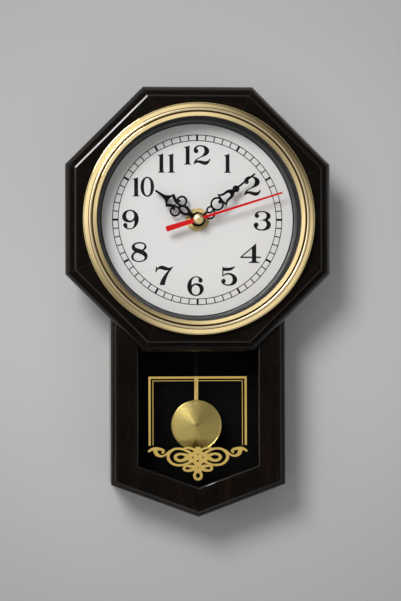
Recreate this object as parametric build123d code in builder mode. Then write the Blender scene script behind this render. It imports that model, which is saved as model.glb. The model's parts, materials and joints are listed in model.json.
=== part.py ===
"""A small octagonal drop wall clock: wooden case, quartz train, hands and driven pendulum.

Millimetres, +Z up, the front faces -Y. The wall is the plane y = 0 and the origin is the
centre of the hanger's round entry hole. "Depth" is always the distance in front of the wall.
"""
from build123d import *
import math
import os

os.makedirs("parts", exist_ok=True)

# Where the hand arbor lies below the hanger hole
DIAL_DROP = 62.0

# Fits: running, sliding and clear
RUN = 0.05
SLIP = 0.2
CLEAR = 0.3

# Octagonal case, across its flats
PLATE_ACROSS = 188.0
PLATE_OVERHANG = 4.0
CASE_WALL = 8.0
CASE_DEPTH = 30.4
BACK_T = 4.0
LEDGE_T = 11.2
LEDGE_W = 6.4
LEDGE_ROUND = 4.5
FIELD_RISE = 2.4
FIELD_BEVEL = 1.0
FIELD_MARGIN = 5.6

# Pointed drop below the octagon
DROP_HALF = 62.0
DROP_CORNER = -188.0
DROP_POINT = 23.0
DROP_WALL = 8.5
DROP_REVEAL = 0.5
FRAME_T = 10.0
FRAME_LAP = 4.4
FRAME_W = 19.5
FRAME_LEDGE = 3.0
FRAME_ROUND = 1.6
FRAME_RISE = 1.6
FRAME_BEVEL = 0.8
WINDOW_BEVEL = 1.2
GLASS_T = 2.0
GLASS_LAP = 2.5
STRIP_T = 2.0
STRIP_W = 7.0
STRIP_GAP = 9.4
STRIP_SET_BACK = 0.5

# Bezel, lens and dial
BEZEL_BAND = 9.85
BEZEL_H = 7.8
BOSS_R = 2.2
BOSS_LEN = 6.0
BOSS_INSET = 2.8
LENS_T = 2.0
LENS_LAP = 3.2
LENS_SEAT = 1.5
RING_W = 3.95
RING_WALL = 0.8
RING_FLAT = 0.8
RING_FOOT = 1.6
RING_DISH = 0.75
DIAL_PLAY = 0.6
DIAL_T = 0.5
BOARD_T = 3.2
DIAL_SCREW_INSET = 3.1
RUBBER_T = 1.0
WASHER_T = 0.6

# Cell, and the movement housing round it
CELL_R = 7.1
CELL_LEN = 49.5
CELL_END_PLAY = 1.5
CELL_SIDE_PLAY = 1.1
CELL_FRONT_PLAY = 0.6
BAY_CHEEK = 2.75
BAY_SHELF = 2.0
MOVE_WALL = 1.6
MOVE_ROUND = 2.5
BUSHING_R = 3.95
BUSHING_LEN = 8.3
COVER_BOSS_H = 1.0

# Arbors
SECOND_R = 0.5
MINUTE_R = 1.75
HOUR_R = 2.55
PIVOT_R = 0.4
PIVOT_LEN = 1.0
ARBOR_R = 0.65
POST_R = 0.75

# Going train and motion work: teeth and module of each mesh
WHEEL_T = 1.2
ROTOR_LEAVES, STEP_TEETH, STEP_MODULE = 8, 48, 0.26
STEP_LEAVES, SECOND_TEETH, SECOND_MODULE = 8, 40, 0.30
SECOND_LEAVES, THIRD_TEETH, THIRD_MODULE = 8, 60, 0.30
THIRD_LEAVES, CENTRE_TEETH = 8, 64
CANNON_TEETH, MINUTE_TEETH, MINUTE_MODULE = 16, 48, 0.30
MINUTE_LEAVES, HOUR_TEETH = 12, 48
SETTING_TEETH = 16

# Directions from one arbor to the next, degrees from +X as seen from the front
THIRD_DIR, STEP_DIR, ROTOR_DIR, MINUTE_DIR, SETTING_DIR = 150.0, 60.0, 45.0, -30.0, -20.0

# Gaps between the wheels, from the front of the train to the back
HOUR_SPACE, MINUTE_SPACE, CENTRE_SPACE = 0.3, 0.5, 0.7
BRIDGE_SPACE, THIRD_SPACE, SECOND_SPACE, STEP_SPACE = 0.8, 0.6, 1.0, 1.0

# Train bridge and stepping motor
BRIDGE_T = 1.2
BRIDGE_EDGE_R = 3.0
BRIDGE_HALF = 15.0
BRIDGE_LOW = (-4.0, -14.0)
STATOR_T = 1.2
STATOR_HALF = 16.0
LIMB = 3.2
COIL_Z = 22.0
COIL_ROOM = 2.2
FLANGE = 8.4

# Hands, as they stand in the photograph (degrees clockwise from twelve)
HOUR_ANGLE = 304.2
MINUTE_ANGLE = 51.4
SECOND_ANGLE = 72.5
HOUR_TIP = 36.6
MINUTE_TIP = 52.0
SECOND_TIP = 62.8
SECOND_TAIL = 24.0
HAND_T = 0.5
HOUR_LIFT = 0.8
MINUTE_LIFT = 2.4
SECOND_LIFT = 2.2
HUB_R = 4.6
CAP_R = 3.8
CAP_H = 2.4
CAP_BITE = 0.6

# Pendulum, measured down from its pivot
SWING_BOSS_R = 4.0
SWING_BOSS_H = 3.0
SWING_BOSS_GAP = 1.0
SWING_PIN_R = 1.5
ARM_T = 1.6
MAGNET_REACH = 11.0
HOOK_REACH = 26.0
DRIVE_COIL_R = 7.0
DRIVE_COIL_T = 4.0
ROD_T = 1.0
ROD_W = 2.7
BOB_REACH = 104.7
BOB_R = 18.2

# Hanger
KEY_R = 4.5
KEY_SLOT = 4.2
KEY_RUN = 10.0
HANGER_T = 1.2
HANGER_W = 46.0
HANGER_H = 26.0

# Widths that follow from the sizes above
CASE_ACROSS = PLATE_ACROSS - 2 * PLATE_OVERHANG
BEZEL_R = PLATE_ACROSS / 2 - LEDGE_W - FIELD_MARGIN
BEZEL_IN_R = BEZEL_R - BEZEL_BAND
LENS_R = BEZEL_IN_R + LENS_LAP
DIAL_HOLE_R = LENS_R - LENS_SEAT
RING_FOOT_R = BEZEL_IN_R - RING_W
DIAL_R = CASE_ACROSS / 2 - CASE_WALL - DIAL_PLAY
DROP_TIP = DROP_CORNER - DROP_POINT
BAY_HALF = CELL_LEN / 2 + CELL_END_PLAY
MOVE_HALF = BAY_HALF + BAY_CHEEK

# Heights that follow, measured from the hand arbor
MOVE_TOP = COIL_Z + FLANGE / 2 + COIL_ROOM + MOVE_WALL
TRAIN_FLOOR = BRIDGE_LOW[1] - BRIDGE_EDGE_R
BAY_ROOF = TRAIN_FLOOR - BAY_SHELF
BAY_FLOOR = BAY_ROOF - 2 * (CELL_R + CELL_SIDE_PLAY)
SWING_TOP = BAY_FLOOR - MOVE_WALL
SWING_PIVOT = SWING_TOP - SWING_BOSS_R - SWING_BOSS_GAP
MAGNET_Z = SWING_PIVOT - MAGNET_REACH
HOOK_Z = SWING_PIVOT - HOOK_REACH
BOB_Z = SWING_PIVOT - BOB_REACH
MOVE_BOTTOM = MAGNET_Z - DRIVE_COIL_R

# Depths that follow
PLATE_BACK = BACK_T + CASE_DEPTH
PLATE_FACE = PLATE_BACK + LEDGE_T + FIELD_RISE
LENS_FACE = PLATE_FACE + LENS_T
DROP_BACK = PLATE_BACK - FRAME_LAP
DROP_FACE = DROP_BACK + FRAME_T
BOARD_FACE = PLATE_BACK - DIAL_T
BOARD_BACK = BOARD_FACE - BOARD_T
MOVE_FACE = BOARD_BACK - RUBBER_T
TRAIN_FRONT = MOVE_FACE - MOVE_WALL

HOUR_LAYER = TRAIN_FRONT - HOUR_SPACE - WHEEL_T
MINUTE_LAYER = HOUR_LAYER - MINUTE_SPACE - WHEEL_T
CENTRE_LAYER = MINUTE_LAYER - CENTRE_SPACE - WHEEL_T
BRIDGE = CENTRE_LAYER - BRIDGE_SPACE - BRIDGE_T
THIRD_LAYER = BRIDGE - THIRD_SPACE - WHEEL_T
SECOND_LAYER = THIRD_LAYER - SECOND_SPACE - WHEEL_T
STEP_LAYER = SECOND_LAYER - STEP_SPACE - WHEEL_T
SHOULDER = STEP_LAYER - CLEAR
COVER_IN = SHOULDER - SLIP - COVER_BOSS_H
MOVE_REAR = COVER_IN - MOVE_WALL
CELL_DEPTH = TRAIN_FRONT - CELL_FRONT_PLAY - CELL_R

BUSHING_END = MOVE_FACE + BUSHING_LEN
HOUR_HAND = BUSHING_END + HOUR_LIFT
MINUTE_HAND = HOUR_HAND + MINUTE_LIFT
SECOND_HAND = MINUTE_HAND + SECOND_LIFT

# Distances between arbors, and the modules that share them
THIRD_GAP = THIRD_MODULE * (SECOND_LEAVES + THIRD_TEETH) / 2
CENTRE_MODULE = 2 * THIRD_GAP / (THIRD_LEAVES + CENTRE_TEETH)
MINUTE_GAP = MINUTE_MODULE * (CANNON_TEETH + MINUTE_TEETH) / 2
HOUR_MODULE = 2 * MINUTE_GAP / (MINUTE_LEAVES + HOUR_TEETH)
STEP_GAP = SECOND_MODULE * (STEP_LEAVES + SECOND_TEETH) / 2
ROTOR_GAP = STEP_MODULE * (ROTOR_LEAVES + STEP_TEETH) / 2
SETTING_GAP = MINUTE_MODULE * (SETTING_TEETH + MINUTE_TEETH) / 2


def polar(radius, degrees, centre=(0.0, 0.0)):
    """The point at a radius and an angle round a centre."""
    a = math.radians(degrees)
    return (centre[0] + radius * math.cos(a), centre[1] + radius * math.sin(a))


CENTRE = (0.0, 0.0)
THIRD_AT = polar(THIRD_GAP, THIRD_DIR)
STEP_AT = polar(STEP_GAP, STEP_DIR)
ROTOR_AT = polar(ROTOR_GAP, ROTOR_DIR, STEP_AT)
MINUTE_AT = polar(MINUTE_GAP, MINUTE_DIR)
SETTING_AT = polar(SETTING_GAP, SETTING_DIR, MINUTE_AT)


def front_plane(depth, at=CENTRE):
    """A plane parallel to the wall: local x runs right, local y up, measured from the hands."""
    return Plane(origin=(at[0], -depth, at[1] - DIAL_DROP), x_dir=(1, 0, 0), z_dir=(0, -1, 0))


def turning_plane(at=CENTRE):
    """A plane through an arbor: local x is the radius, local y the depth."""
    return Plane(origin=(at[0], 0, at[1] - DIAL_DROP), x_dir=(1, 0, 0), z_dir=(0, 0, -1))


def arbor(at=CENTRE):
    """The line of an arbor, for turned pieces."""
    return Axis((at[0], 0, at[1] - DIAL_DROP), (0, 1, 0))


def disc(radius, start, end, at=CENTRE, mode=Mode.ADD):
    """A round bar from one depth to another."""
    with BuildSketch(front_plane(start, at)) as profile:
        Circle(radius)
    extrude(profile.sketch, amount=end - start, mode=mode)


def slab(points, start, end, mode=Mode.ADD):
    """A flat piece with a straight-sided outline, from one depth to another."""
    with BuildSketch(front_plane(start)) as profile:
        Polygon(*points, align=None)
    extrude(profile.sketch, amount=end - start, mode=mode)


def box(left, right, low, high, start, end, mode=Mode.ADD):
    """A rectangular block given by its sides, its ends and its two depths."""
    slab([(left, low), (right, low), (right, high), (left, high)], start, end, mode)


def octagon(across, mode=Mode.ADD):
    """A regular octagon with flat top, given across its flats."""
    RegularPolygon(across / 2, 8, major_radius=False, rotation=22.5, mode=mode)


def dome(edge, base, rise):
    """The arc of a ball's cap, from its edge to its crown on the turning axis."""
    ball = (edge ** 2 + rise ** 2) / (2 * rise)
    lean = math.asin(edge / ball) / 2
    crown = base + rise
    ThreePointArc((edge, base), (ball * math.sin(lean), crown - ball * (1 - math.cos(lean))), (0, crown))


def save(piece, node):
    """Name a finished piece and write it."""
    piece.part.label = node
    export_step(piece.part, f"parts/{node}.step")


def front_edges(piece):
    """The edges of the face nearest the viewer."""
    return piece.faces().sort_by(Axis.Y)[0].edges()


# Octagonal case: seven staves, the eighth side left open for the pendulum

def stave_points(side):
    """The mitred outline of one stave; side 0 is the top and they run clockwise."""
    outer = CASE_ACROSS / 2 / math.cos(math.pi / 8)
    inner = (CASE_ACROSS / 2 - CASE_WALL) / math.cos(math.pi / 8)
    middle = 90 - 45 * side
    return [polar(outer, middle + 22.5), polar(outer, middle - 22.5),
            polar(inner, middle - 22.5), polar(inner, middle + 22.5)]


STAVES = {0: "stave_top", 1: "stave_upper_right", 2: "stave_right", 3: "stave_lower_right",
          5: "stave_lower_left", 6: "stave_left", 7: "stave_upper_left"}
STAVE_MID_R = CASE_ACROSS / 2 - CASE_WALL / 2
BACK_SCREW_R = 1.3
BACK_SCREW_HEAD_R = 2.6
BACK_SCREW_LEN = 16.0


def drop_point(inset, part):
    """A corner of the drop's outline moved inwards: its side, its lower corner or its tip."""
    slope = math.atan2(DROP_CORNER - DROP_TIP, DROP_HALF)
    half = DROP_HALF - inset
    tip = DROP_TIP + inset / math.cos(slope)
    return {"half": half, "corner": tip + half * math.tan(slope), "tip": tip}[part]


def drop_outline(inset, top):
    """The pointed drop's outline, moved inwards and cut off level at the top."""
    half = drop_point(inset, "half")
    corner = drop_point(inset, "corner")
    return [(-half, top), (-half, corner), (0, drop_point(inset, "tip")), (half, corner), (half, top)]


def drop_side(outer, inner, top, sign):
    """The outline of one upright of the drop, mitred at its foot."""
    return [(sign * drop_point(outer, "half"), top),
            (sign * drop_point(outer, "half"), drop_point(outer, "corner")),
            (sign * drop_point(inner, "half"), drop_point(inner, "corner")),
            (sign * drop_point(inner, "half"), top)]


def drop_foot(outer, inner, sign):
    """The outline of one sloping foot of the drop, mitred at both ends."""
    return [(sign * drop_point(outer, "half"), drop_point(outer, "corner")),
            (0, drop_point(outer, "tip")), (0, drop_point(inner, "tip")),
            (sign * drop_point(inner, "half"), drop_point(inner, "corner"))]


# The drop runs up under the octagon's slanting sides as far as this line
MEET_LAP = 5.3
DROP_MEET = DROP_HALF - CASE_ACROSS / math.sqrt(2) + MEET_LAP
WINDOW_TOP = -PLATE_ACROSS / 2

UPPER_SCREW_GAP = 9.4
LOWER_SCREW_GAP = 22.5
WALL_MIDDLE = DROP_REVEAL + DROP_WALL / 2
FOOT_SCREW = (DROP_HALF / 2, (drop_point(WALL_MIDDLE, "tip") + drop_point(WALL_MIDDLE, "corner")) / 2)
SIDE_SCREW_X = drop_point(WALL_MIDDLE, "half")
SIDE_SCREW_ZS = (WINDOW_TOP - UPPER_SCREW_GAP, DROP_CORNER + LOWER_SCREW_GAP)
BACK_SCREWS = [polar(STAVE_MID_R, 90 - 45 * side) for side in STAVES]
BACK_SCREWS += [(sign * SIDE_SCREW_X, z) for sign in (-1, 1) for z in SIDE_SCREW_ZS]
BACK_SCREWS += [(sign * FOOT_SCREW[0], FOOT_SCREW[1]) for sign in (-1, 1)]

for side, node in STAVES.items():
    with BuildPart() as stave:
        slab(stave_points(side), BACK_T, PLATE_BACK)
        disc(BACK_SCREW_R, BACK_T, BACK_SCREW_LEN, polar(STAVE_MID_R, 90 - 45 * side), Mode.SUBTRACT)
    save(stave, node)

for sign, hand in ((-1, "left"), (1, "right")):
    with BuildPart() as upright:
        with BuildSketch(front_plane(BACK_T)):
            Polygon(*drop_side(DROP_REVEAL, DROP_REVEAL + DROP_WALL, DROP_MEET, sign), align=None)
            octagon(CASE_ACROSS, Mode.SUBTRACT)
        extrude(amount=DROP_BACK - BACK_T)
        for z in SIDE_SCREW_ZS:
            disc(BACK_SCREW_R, BACK_T, BACK_SCREW_LEN, (sign * SIDE_SCREW_X, z), Mode.SUBTRACT)
    save(upright, f"drop_side_{hand}")

    with BuildPart() as foot:
        slab(drop_foot(DROP_REVEAL, DROP_REVEAL + DROP_WALL, sign), BACK_T, DROP_BACK)
        disc(BACK_SCREW_R, BACK_T, BACK_SCREW_LEN, (sign * FOOT_SCREW[0], FOOT_SCREW[1]), Mode.SUBTRACT)
    save(foot, f"drop_foot_{hand}")

# Octagonal front plate: rounded ledge, small bevel and raised field
COUNTERBORE = 3.6
BEZEL_SCREW_R = 1.0
BEZEL_SCREW_HEAD_R = 2.5
DIAL_SCREW_R = 1.2
DIAL_SCREW_HEAD_R = 2.5
DIAL_SCREW_BITE = 7.0
SCREW_HEAD_T = 1.8
BEZEL_BOSSES = [polar(BEZEL_R - BOSS_INSET, 45 + 90 * k) for k in range(4)]
DIAL_SCREWS = [polar(DIAL_R - DIAL_SCREW_INSET, 90 * k) for k in range(4)]

with BuildPart() as octagon_front:
    with BuildSketch(front_plane(PLATE_BACK)):
        octagon(PLATE_ACROSS)
    extrude(amount=LEDGE_T)
    fillet(front_edges(octagon_front), LEDGE_ROUND)
    with BuildSketch(front_plane(PLATE_BACK + LEDGE_T)):
        octagon(PLATE_ACROSS - 2 * LEDGE_W)
    extrude(amount=FIELD_RISE)
    chamfer(front_edges(octagon_front), FIELD_BEVEL)
    disc(DIAL_HOLE_R, PLATE_BACK, PLATE_FACE, CENTRE, Mode.SUBTRACT)
    for boss in BEZEL_BOSSES:
        disc(BEZEL_SCREW_HEAD_R + CLEAR, PLATE_BACK, PLATE_BACK + COUNTERBORE, boss, Mode.SUBTRACT)
        disc(BEZEL_SCREW_R + CLEAR, PLATE_BACK, PLATE_FACE, boss, Mode.SUBTRACT)
        disc(BOSS_R + SLIP, PLATE_FACE - BOSS_LEN - SLIP, PLATE_FACE, boss, Mode.SUBTRACT)
    for screw in DIAL_SCREWS:
        disc(DIAL_SCREW_R, PLATE_BACK, PLATE_BACK + DIAL_SCREW_BITE, screw, Mode.SUBTRACT)
save(octagon_front, "octagon_front")

# Drop front: laps under the octagon plate, raised field, bevelled window with a glass rebate
FIELD_BACK = DROP_FACE - FRAME_RISE
GLASS_TOP = WINDOW_TOP + GLASS_LAP
NEAR = 1.0


def lies_on(edge, half):
    """Whether an upright edge stands that far from the middle."""
    return abs(abs(edge.center().X) - half) < NEAR / 2


def height(edge):
    """An edge's middle, measured from the hand arbor."""
    return edge.center().Z + DIAL_DROP


with BuildPart() as drop_front:
    with BuildSketch(front_plane(DROP_BACK)):
        Polygon(*drop_outline(0, DROP_MEET), align=None)
        octagon(CASE_ACROSS, Mode.SUBTRACT)
        Polygon(*drop_outline(FRAME_W, WINDOW_TOP), align=None, mode=Mode.SUBTRACT)
    extrude(amount=PLATE_BACK - DROP_BACK)
    with BuildSketch(front_plane(PLATE_BACK)):
        Polygon(*drop_outline(0, DROP_MEET), align=None)
        octagon(PLATE_ACROSS, Mode.SUBTRACT)
        Polygon(*drop_outline(FRAME_W, DROP_MEET), align=None, mode=Mode.SUBTRACT)
    extrude(amount=FIELD_BACK - PLATE_BACK)
    outside = [e for e in front_edges(drop_front)
               if lies_on(e, DROP_HALF) or height(e) < drop_point(NEAR, "corner") - NEAR]
    fillet(outside, FRAME_ROUND)
    with BuildSketch(front_plane(FIELD_BACK)):
        Polygon(*drop_outline(FRAME_LEDGE, DROP_MEET), align=None)
        octagon(PLATE_ACROSS, Mode.SUBTRACT)
        Polygon(*drop_outline(FRAME_W, DROP_MEET), align=None, mode=Mode.SUBTRACT)
    extrude(amount=DROP_FACE - FIELD_BACK)
    field = front_edges(drop_front)
    rim = [e for e in field if lies_on(e, drop_point(FRAME_LEDGE, "half"))
           or height(e) < drop_point(FRAME_LEDGE, "corner") - NEAR]
    chamfer(rim, FRAME_BEVEL)
    opening_half = drop_point(FRAME_W, "half")
    opening = [e for e in front_edges(drop_front) if lies_on(e, opening_half)
               or (abs(e.center().X) < opening_half - NEAR
                   and drop_point(FRAME_W, "tip") < height(e) < drop_point(FRAME_W, "corner"))]
    chamfer(opening, WINDOW_BEVEL)
    slab(drop_outline(FRAME_W - GLASS_LAP, GLASS_TOP), DROP_BACK, DROP_BACK + GLASS_T, Mode.SUBTRACT)
save(drop_front, "drop_front")

with BuildPart() as window_glass:
    slab(drop_outline(FRAME_W - GLASS_LAP + SLIP, GLASS_TOP - SLIP), DROP_BACK, DROP_BACK + GLASS_T)
save(window_glass, "window_glass")

STRIP_IN = FRAME_W - STRIP_SET_BACK
STRIP_OUT = STRIP_IN - STRIP_W
with BuildPart() as glazing_strips:
    for sign in (-1, 1):
        slab(drop_side(STRIP_OUT, STRIP_IN, WINDOW_TOP - STRIP_GAP, sign), DROP_BACK - STRIP_T, DROP_BACK)
        slab(drop_foot(STRIP_OUT, STRIP_IN, sign), DROP_BACK - STRIP_T, DROP_BACK)
save(glazing_strips, "glazing_strips")

# Back panel: one board over the whole back, with the hanger let in flush
ACCESS_SIDE, ACCESS_ABOVE, ACCESS_BELOW, ACCESS_ROUND = 5.0, 4.0, 10.0, 6.0
ACCESS_W = 2 * (MOVE_HALF + ACCESS_SIDE)
ACCESS_TOP = MOVE_TOP + ACCESS_ABOVE
ACCESS_LOW = MOVE_BOTTOM - ACCESS_BELOW
RIVET_R, RIVET_HEAD_R, RIVET_HEAD_T, RIVET_INSET = 1.5, 2.8, 0.9, 6.5
RIVETS = [(sign * (HANGER_W / 2 - RIVET_INSET), DIAL_DROP) for sign in (-1, 1)]
HANGER_RISE, HANGER_ROUND = 3.3, 3.0
HANGER_MID = DIAL_DROP + HANGER_RISE
KEY_ROOM = 1.5

with BuildPart() as back_panel:
    with BuildSketch(front_plane(0)):
        octagon(CASE_ACROSS)
        Polygon(*drop_outline(DROP_REVEAL, DROP_MEET), align=None)
        with Locations((0, (ACCESS_TOP + ACCESS_LOW) / 2)):
            RectangleRounded(ACCESS_W, ACCESS_TOP - ACCESS_LOW, ACCESS_ROUND, mode=Mode.SUBTRACT)
    extrude(amount=BACK_T)
    with BuildSketch(front_plane(0, (0, HANGER_MID))):
        Rectangle(HANGER_W + 2 * SLIP, HANGER_H + 2 * SLIP)
    extrude(amount=HANGER_T, mode=Mode.SUBTRACT)
    with BuildSketch(front_plane(0, (0, DIAL_DROP + KEY_RUN / 2))):
        SlotOverall(KEY_RUN + 2 * (KEY_R + KEY_ROOM), 2 * (KEY_R + KEY_ROOM), rotation=90)
    extrude(amount=BACK_T, mode=Mode.SUBTRACT)
    for rivet in RIVETS:
        disc(RIVET_R, 0, BACK_T, rivet, Mode.SUBTRACT)
    for x, z in BACK_SCREWS:
        with Locations(Plane(origin=(x, 0, z - DIAL_DROP), x_dir=(1, 0, 0), z_dir=(0, 1, 0))):
            CounterSinkHole(BACK_SCREW_R, BACK_SCREW_HEAD_R, counter_sink_angle=90)
save(back_panel, "back_panel")

SCREW_POINT = 2.0
with BuildPart() as back_screw:
    with BuildSketch(Plane(origin=(0, 0, 0), x_dir=(1, 0, 0), z_dir=(0, 0, -1))):
        Polygon((0, SLIP), (BACK_SCREW_HEAD_R - SLIP, SLIP),
                (BACK_SCREW_R, BACK_SCREW_HEAD_R - BACK_SCREW_R),
                (BACK_SCREW_R, BACK_SCREW_LEN - SCREW_POINT), (0, BACK_SCREW_LEN), align=None)
    revolve(axis=Axis.Y)
with BuildPart() as back_screws:
    with Locations(*[(x, 0, z - DIAL_DROP) for x, z in BACK_SCREWS]):
        add(back_screw.part)
save(back_screws, "back_screws")

with BuildPart() as hanger_plate:
    with BuildSketch(front_plane(0, (0, HANGER_MID))):
        RectangleRounded(HANGER_W, HANGER_H, HANGER_ROUND)
    extrude(amount=HANGER_T)
    disc(KEY_R, 0, HANGER_T, (0, DIAL_DROP), Mode.SUBTRACT)
    with BuildSketch(front_plane(0, (0, DIAL_DROP + KEY_RUN / 2))):
        SlotOverall(KEY_RUN + KEY_SLOT, KEY_SLOT, rotation=90)
    extrude(amount=HANGER_T, mode=Mode.SUBTRACT)
    for rivet in RIVETS:
        disc(RIVET_R, 0, HANGER_T, rivet, Mode.SUBTRACT)
save(hanger_plate, "hanger_plate")

with BuildPart() as hanger_rivets:
    for rivet in RIVETS:
        disc(RIVET_R, SLIP, BACK_T, rivet)
        disc(RIVET_HEAD_R, BACK_T, BACK_T + RIVET_HEAD_T, rivet)
save(hanger_rivets, "hanger_rivets")

# Bezel: turned with an outer round, a bead, a groove and an inner round, seated on the plate over the lens
SEAT_WALL, RIM_WALL, RIM_FOOT, HOLLOW_ROOF = 1.1, 1.6, 1.0, 0.2
LENS_EDGE = LENS_R + SLIP


def on_bezel(across, up):
    """A point of the moulding: shares of its band inwards from the rim and of its height."""
    return (BEZEL_R - across * BEZEL_BAND, PLATE_FACE + up * BEZEL_H)


with BuildPart() as bezel:
    with BuildSketch(turning_plane()):
        with BuildLine():
            rim = on_bezel(0, 0.56)
            edge = on_bezel(0.07, 0.655)
            shoulder = on_bezel(0.37, 0.829)
            bead_out = on_bezel(0.415, 0.79)
            bead_in = on_bezel(0.605, 0.79)
            crest = on_bezel(0.76, 1)
            brow = on_bezel(0.975, 0.88)
            lip = on_bezel(1, 0.815)
            Line(on_bezel(0, 0), rim)
            ThreePointArc(rim, on_bezel(0.02, 0.625), edge)
            ThreePointArc(edge, on_bezel(0.22, 0.747), shoulder)
            Polyline(shoulder, on_bezel(0.385, 0.79), bead_out)
            ThreePointArc(bead_out, on_bezel(0.51, 0.935), bead_in)
            Polyline(bead_in, on_bezel(0.625, 0.7), on_bezel(0.7, 0.7), on_bezel(0.72, 0.96), crest)
            ThreePointArc(crest, on_bezel(0.87, 0.945), brow)
            Polyline(brow, lip, (BEZEL_IN_R, LENS_FACE), (LENS_EDGE, LENS_FACE), (LENS_EDGE, PLATE_FACE),
                     on_bezel(0, 0))
        make_face()
        with BuildLine():
            roof = LENS_FACE + HOLLOW_ROOF
            Polyline((LENS_EDGE + SEAT_WALL, PLATE_FACE), (LENS_EDGE + SEAT_WALL, roof),
                     (BEZEL_R - RIM_WALL, roof), (BEZEL_R - RIM_FOOT, PLATE_FACE), close=True)
        make_face(mode=Mode.SUBTRACT)
    revolve(axis=arbor())
    for boss in BEZEL_BOSSES:
        disc(BOSS_R, PLATE_FACE - BOSS_LEN, roof + SLIP, boss)
        disc(BEZEL_SCREW_R, PLATE_FACE - BOSS_LEN, PLATE_FACE, boss, Mode.SUBTRACT)
save(bezel, "bezel")

with BuildPart() as bezel_screws:
    for boss in BEZEL_BOSSES:
        disc(BEZEL_SCREW_HEAD_R, PLATE_BACK + COUNTERBORE - SCREW_HEAD_T, PLATE_BACK + COUNTERBORE, boss)
        disc(BEZEL_SCREW_R, PLATE_BACK + COUNTERBORE, PLATE_FACE, boss)
save(bezel_screws, "bezel_screws")

with BuildPart() as lens:
    disc(LENS_R, PLATE_FACE, LENS_FACE)
save(lens, "lens")

RING_OUT_R = DIAL_HOLE_R - CLEAR
RING_TOP = PLATE_FACE - SLIP
with BuildPart() as reflector_ring:
    with BuildSketch(turning_plane()):
        Polygon((RING_FOOT_R, PLATE_BACK), (RING_OUT_R, PLATE_BACK), (RING_OUT_R, RING_TOP),
                (BEZEL_IN_R, RING_TOP), (BEZEL_IN_R - RING_WALL, PLATE_BACK + RING_FOOT + RING_DISH),
                (RING_FOOT_R + RING_FLAT, PLATE_BACK + RING_FOOT), (RING_FOOT_R, PLATE_BACK + RING_FOOT), align=None)
    revolve(axis=arbor())
save(reflector_ring, "reflector_ring")

# Dial: printed card on a board, held to the plate by four screws
BUSHING_HOLE_R = BUSHING_R + SLIP
with BuildPart() as dial_face:
    disc(DIAL_R, BOARD_FACE, PLATE_BACK)
    disc(BUSHING_HOLE_R, BOARD_FACE, PLATE_BACK, CENTRE, Mode.SUBTRACT)
    for screw in DIAL_SCREWS:
        disc(DIAL_SCREW_R + SLIP, BOARD_FACE, PLATE_BACK, screw, Mode.SUBTRACT)
save(dial_face, "dial_face")

with BuildPart() as dial_board:
    disc(DIAL_R, BOARD_BACK, BOARD_FACE)
    disc(BUSHING_HOLE_R, BOARD_BACK, BOARD_FACE, CENTRE, Mode.SUBTRACT)
    for screw in DIAL_SCREWS:
        disc(DIAL_SCREW_R + SLIP, BOARD_BACK, BOARD_FACE, screw, Mode.SUBTRACT)
save(dial_board, "dial_board")

with BuildPart() as dial_screws:
    for screw in DIAL_SCREWS:
        disc(DIAL_SCREW_HEAD_R, BOARD_BACK - SCREW_HEAD_T, BOARD_BACK, screw)
        disc(DIAL_SCREW_R, BOARD_BACK, PLATE_BACK + DIAL_SCREW_BITE, screw)
save(dial_screws, "dial_screws")

# What clamps the movement to the dial
WASHER_R = 8.3
RUBBER_R = 9.0
NUT_ACROSS, NUT_T = 9.6, 2.4

with BuildPart() as rubber_washer:
    disc(RUBBER_R, MOVE_FACE, BOARD_BACK)
    disc(BUSHING_HOLE_R, MOVE_FACE, BOARD_BACK, CENTRE, Mode.SUBTRACT)
save(rubber_washer, "rubber_washer")

with BuildPart() as dial_washer:
    disc(WASHER_R, PLATE_BACK, PLATE_BACK + WASHER_T)
    chamfer(front_edges(dial_washer), WASHER_T / 2)
    disc(BUSHING_HOLE_R, PLATE_BACK, PLATE_BACK + WASHER_T, CENTRE, Mode.SUBTRACT)
save(dial_washer, "dial_washer")

with BuildPart() as dial_nut:
    with BuildSketch(front_plane(PLATE_BACK + WASHER_T)):
        RegularPolygon(NUT_ACROSS / 2, 6, major_radius=False)
        Circle(BUSHING_R, mode=Mode.SUBTRACT)
    extrude(amount=NUT_T)
save(dial_nut, "dial_nut")


# Gear teeth: straight-flanked, six to nine hundredths of a millimetre slack a side

def toothed(teeth, module, phase, leaf=False):
    """A toothed outline; phase is the direction of one tooth, leaf marks a pinion."""
    pitch = 360 / teeth
    rise, sink, wide, narrow = (0.70, 1.10, 0.46, 0.20) if leaf else (0.90, 1.00, 0.54, 0.18)
    pitch_r = module * teeth / 2
    root_r, tip_r = pitch_r - sink * module, pitch_r + rise * module
    root, tip = pitch * wide / 2, pitch * narrow / 2
    points = []
    for k in range(teeth):
        middle = phase + k * pitch
        points += [polar(root_r, middle - root), polar(tip_r, middle - tip),
                   polar(tip_r, middle + tip), polar(root_r, middle + root)]
    Polygon(*points, align=None)


def gear(teeth, module, phase, start, end, at, leaf):
    """A toothed disc between two depths round an arbor."""
    with BuildSketch(front_plane(start, at)) as profile:
        toothed(teeth, module, phase, leaf)
    extrude(profile.sketch, amount=end - start)


def wheel(teeth, module, phase, layer, at=CENTRE):
    """A wheel in one layer of the train."""
    gear(teeth, module, phase, layer, layer + WHEEL_T, at, False)


def pinion(leaves, module, phase, start, end, at=CENTRE):
    """A pinion between two depths."""
    gear(leaves, module, phase, start, end, at, True)


def pivots(front, at):
    """Turned-down arbor ends that run in the cover and in what lies in front."""
    disc(PIVOT_R, COVER_IN - CLEAR, SHOULDER, at)
    disc(PIVOT_R, front, front + PIVOT_LEN, at)


def partner_phase(teeth, direction, driver_teeth, driver_phase):
    """The phase that puts a gap where the driver's tooth comes, seen along the line of centres."""
    pitch = 360 / driver_teeth
    offset = (driver_phase - direction + pitch / 2) % pitch - pitch / 2
    return direction + 180 - offset * driver_teeth / teeth + 180 / teeth


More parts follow.
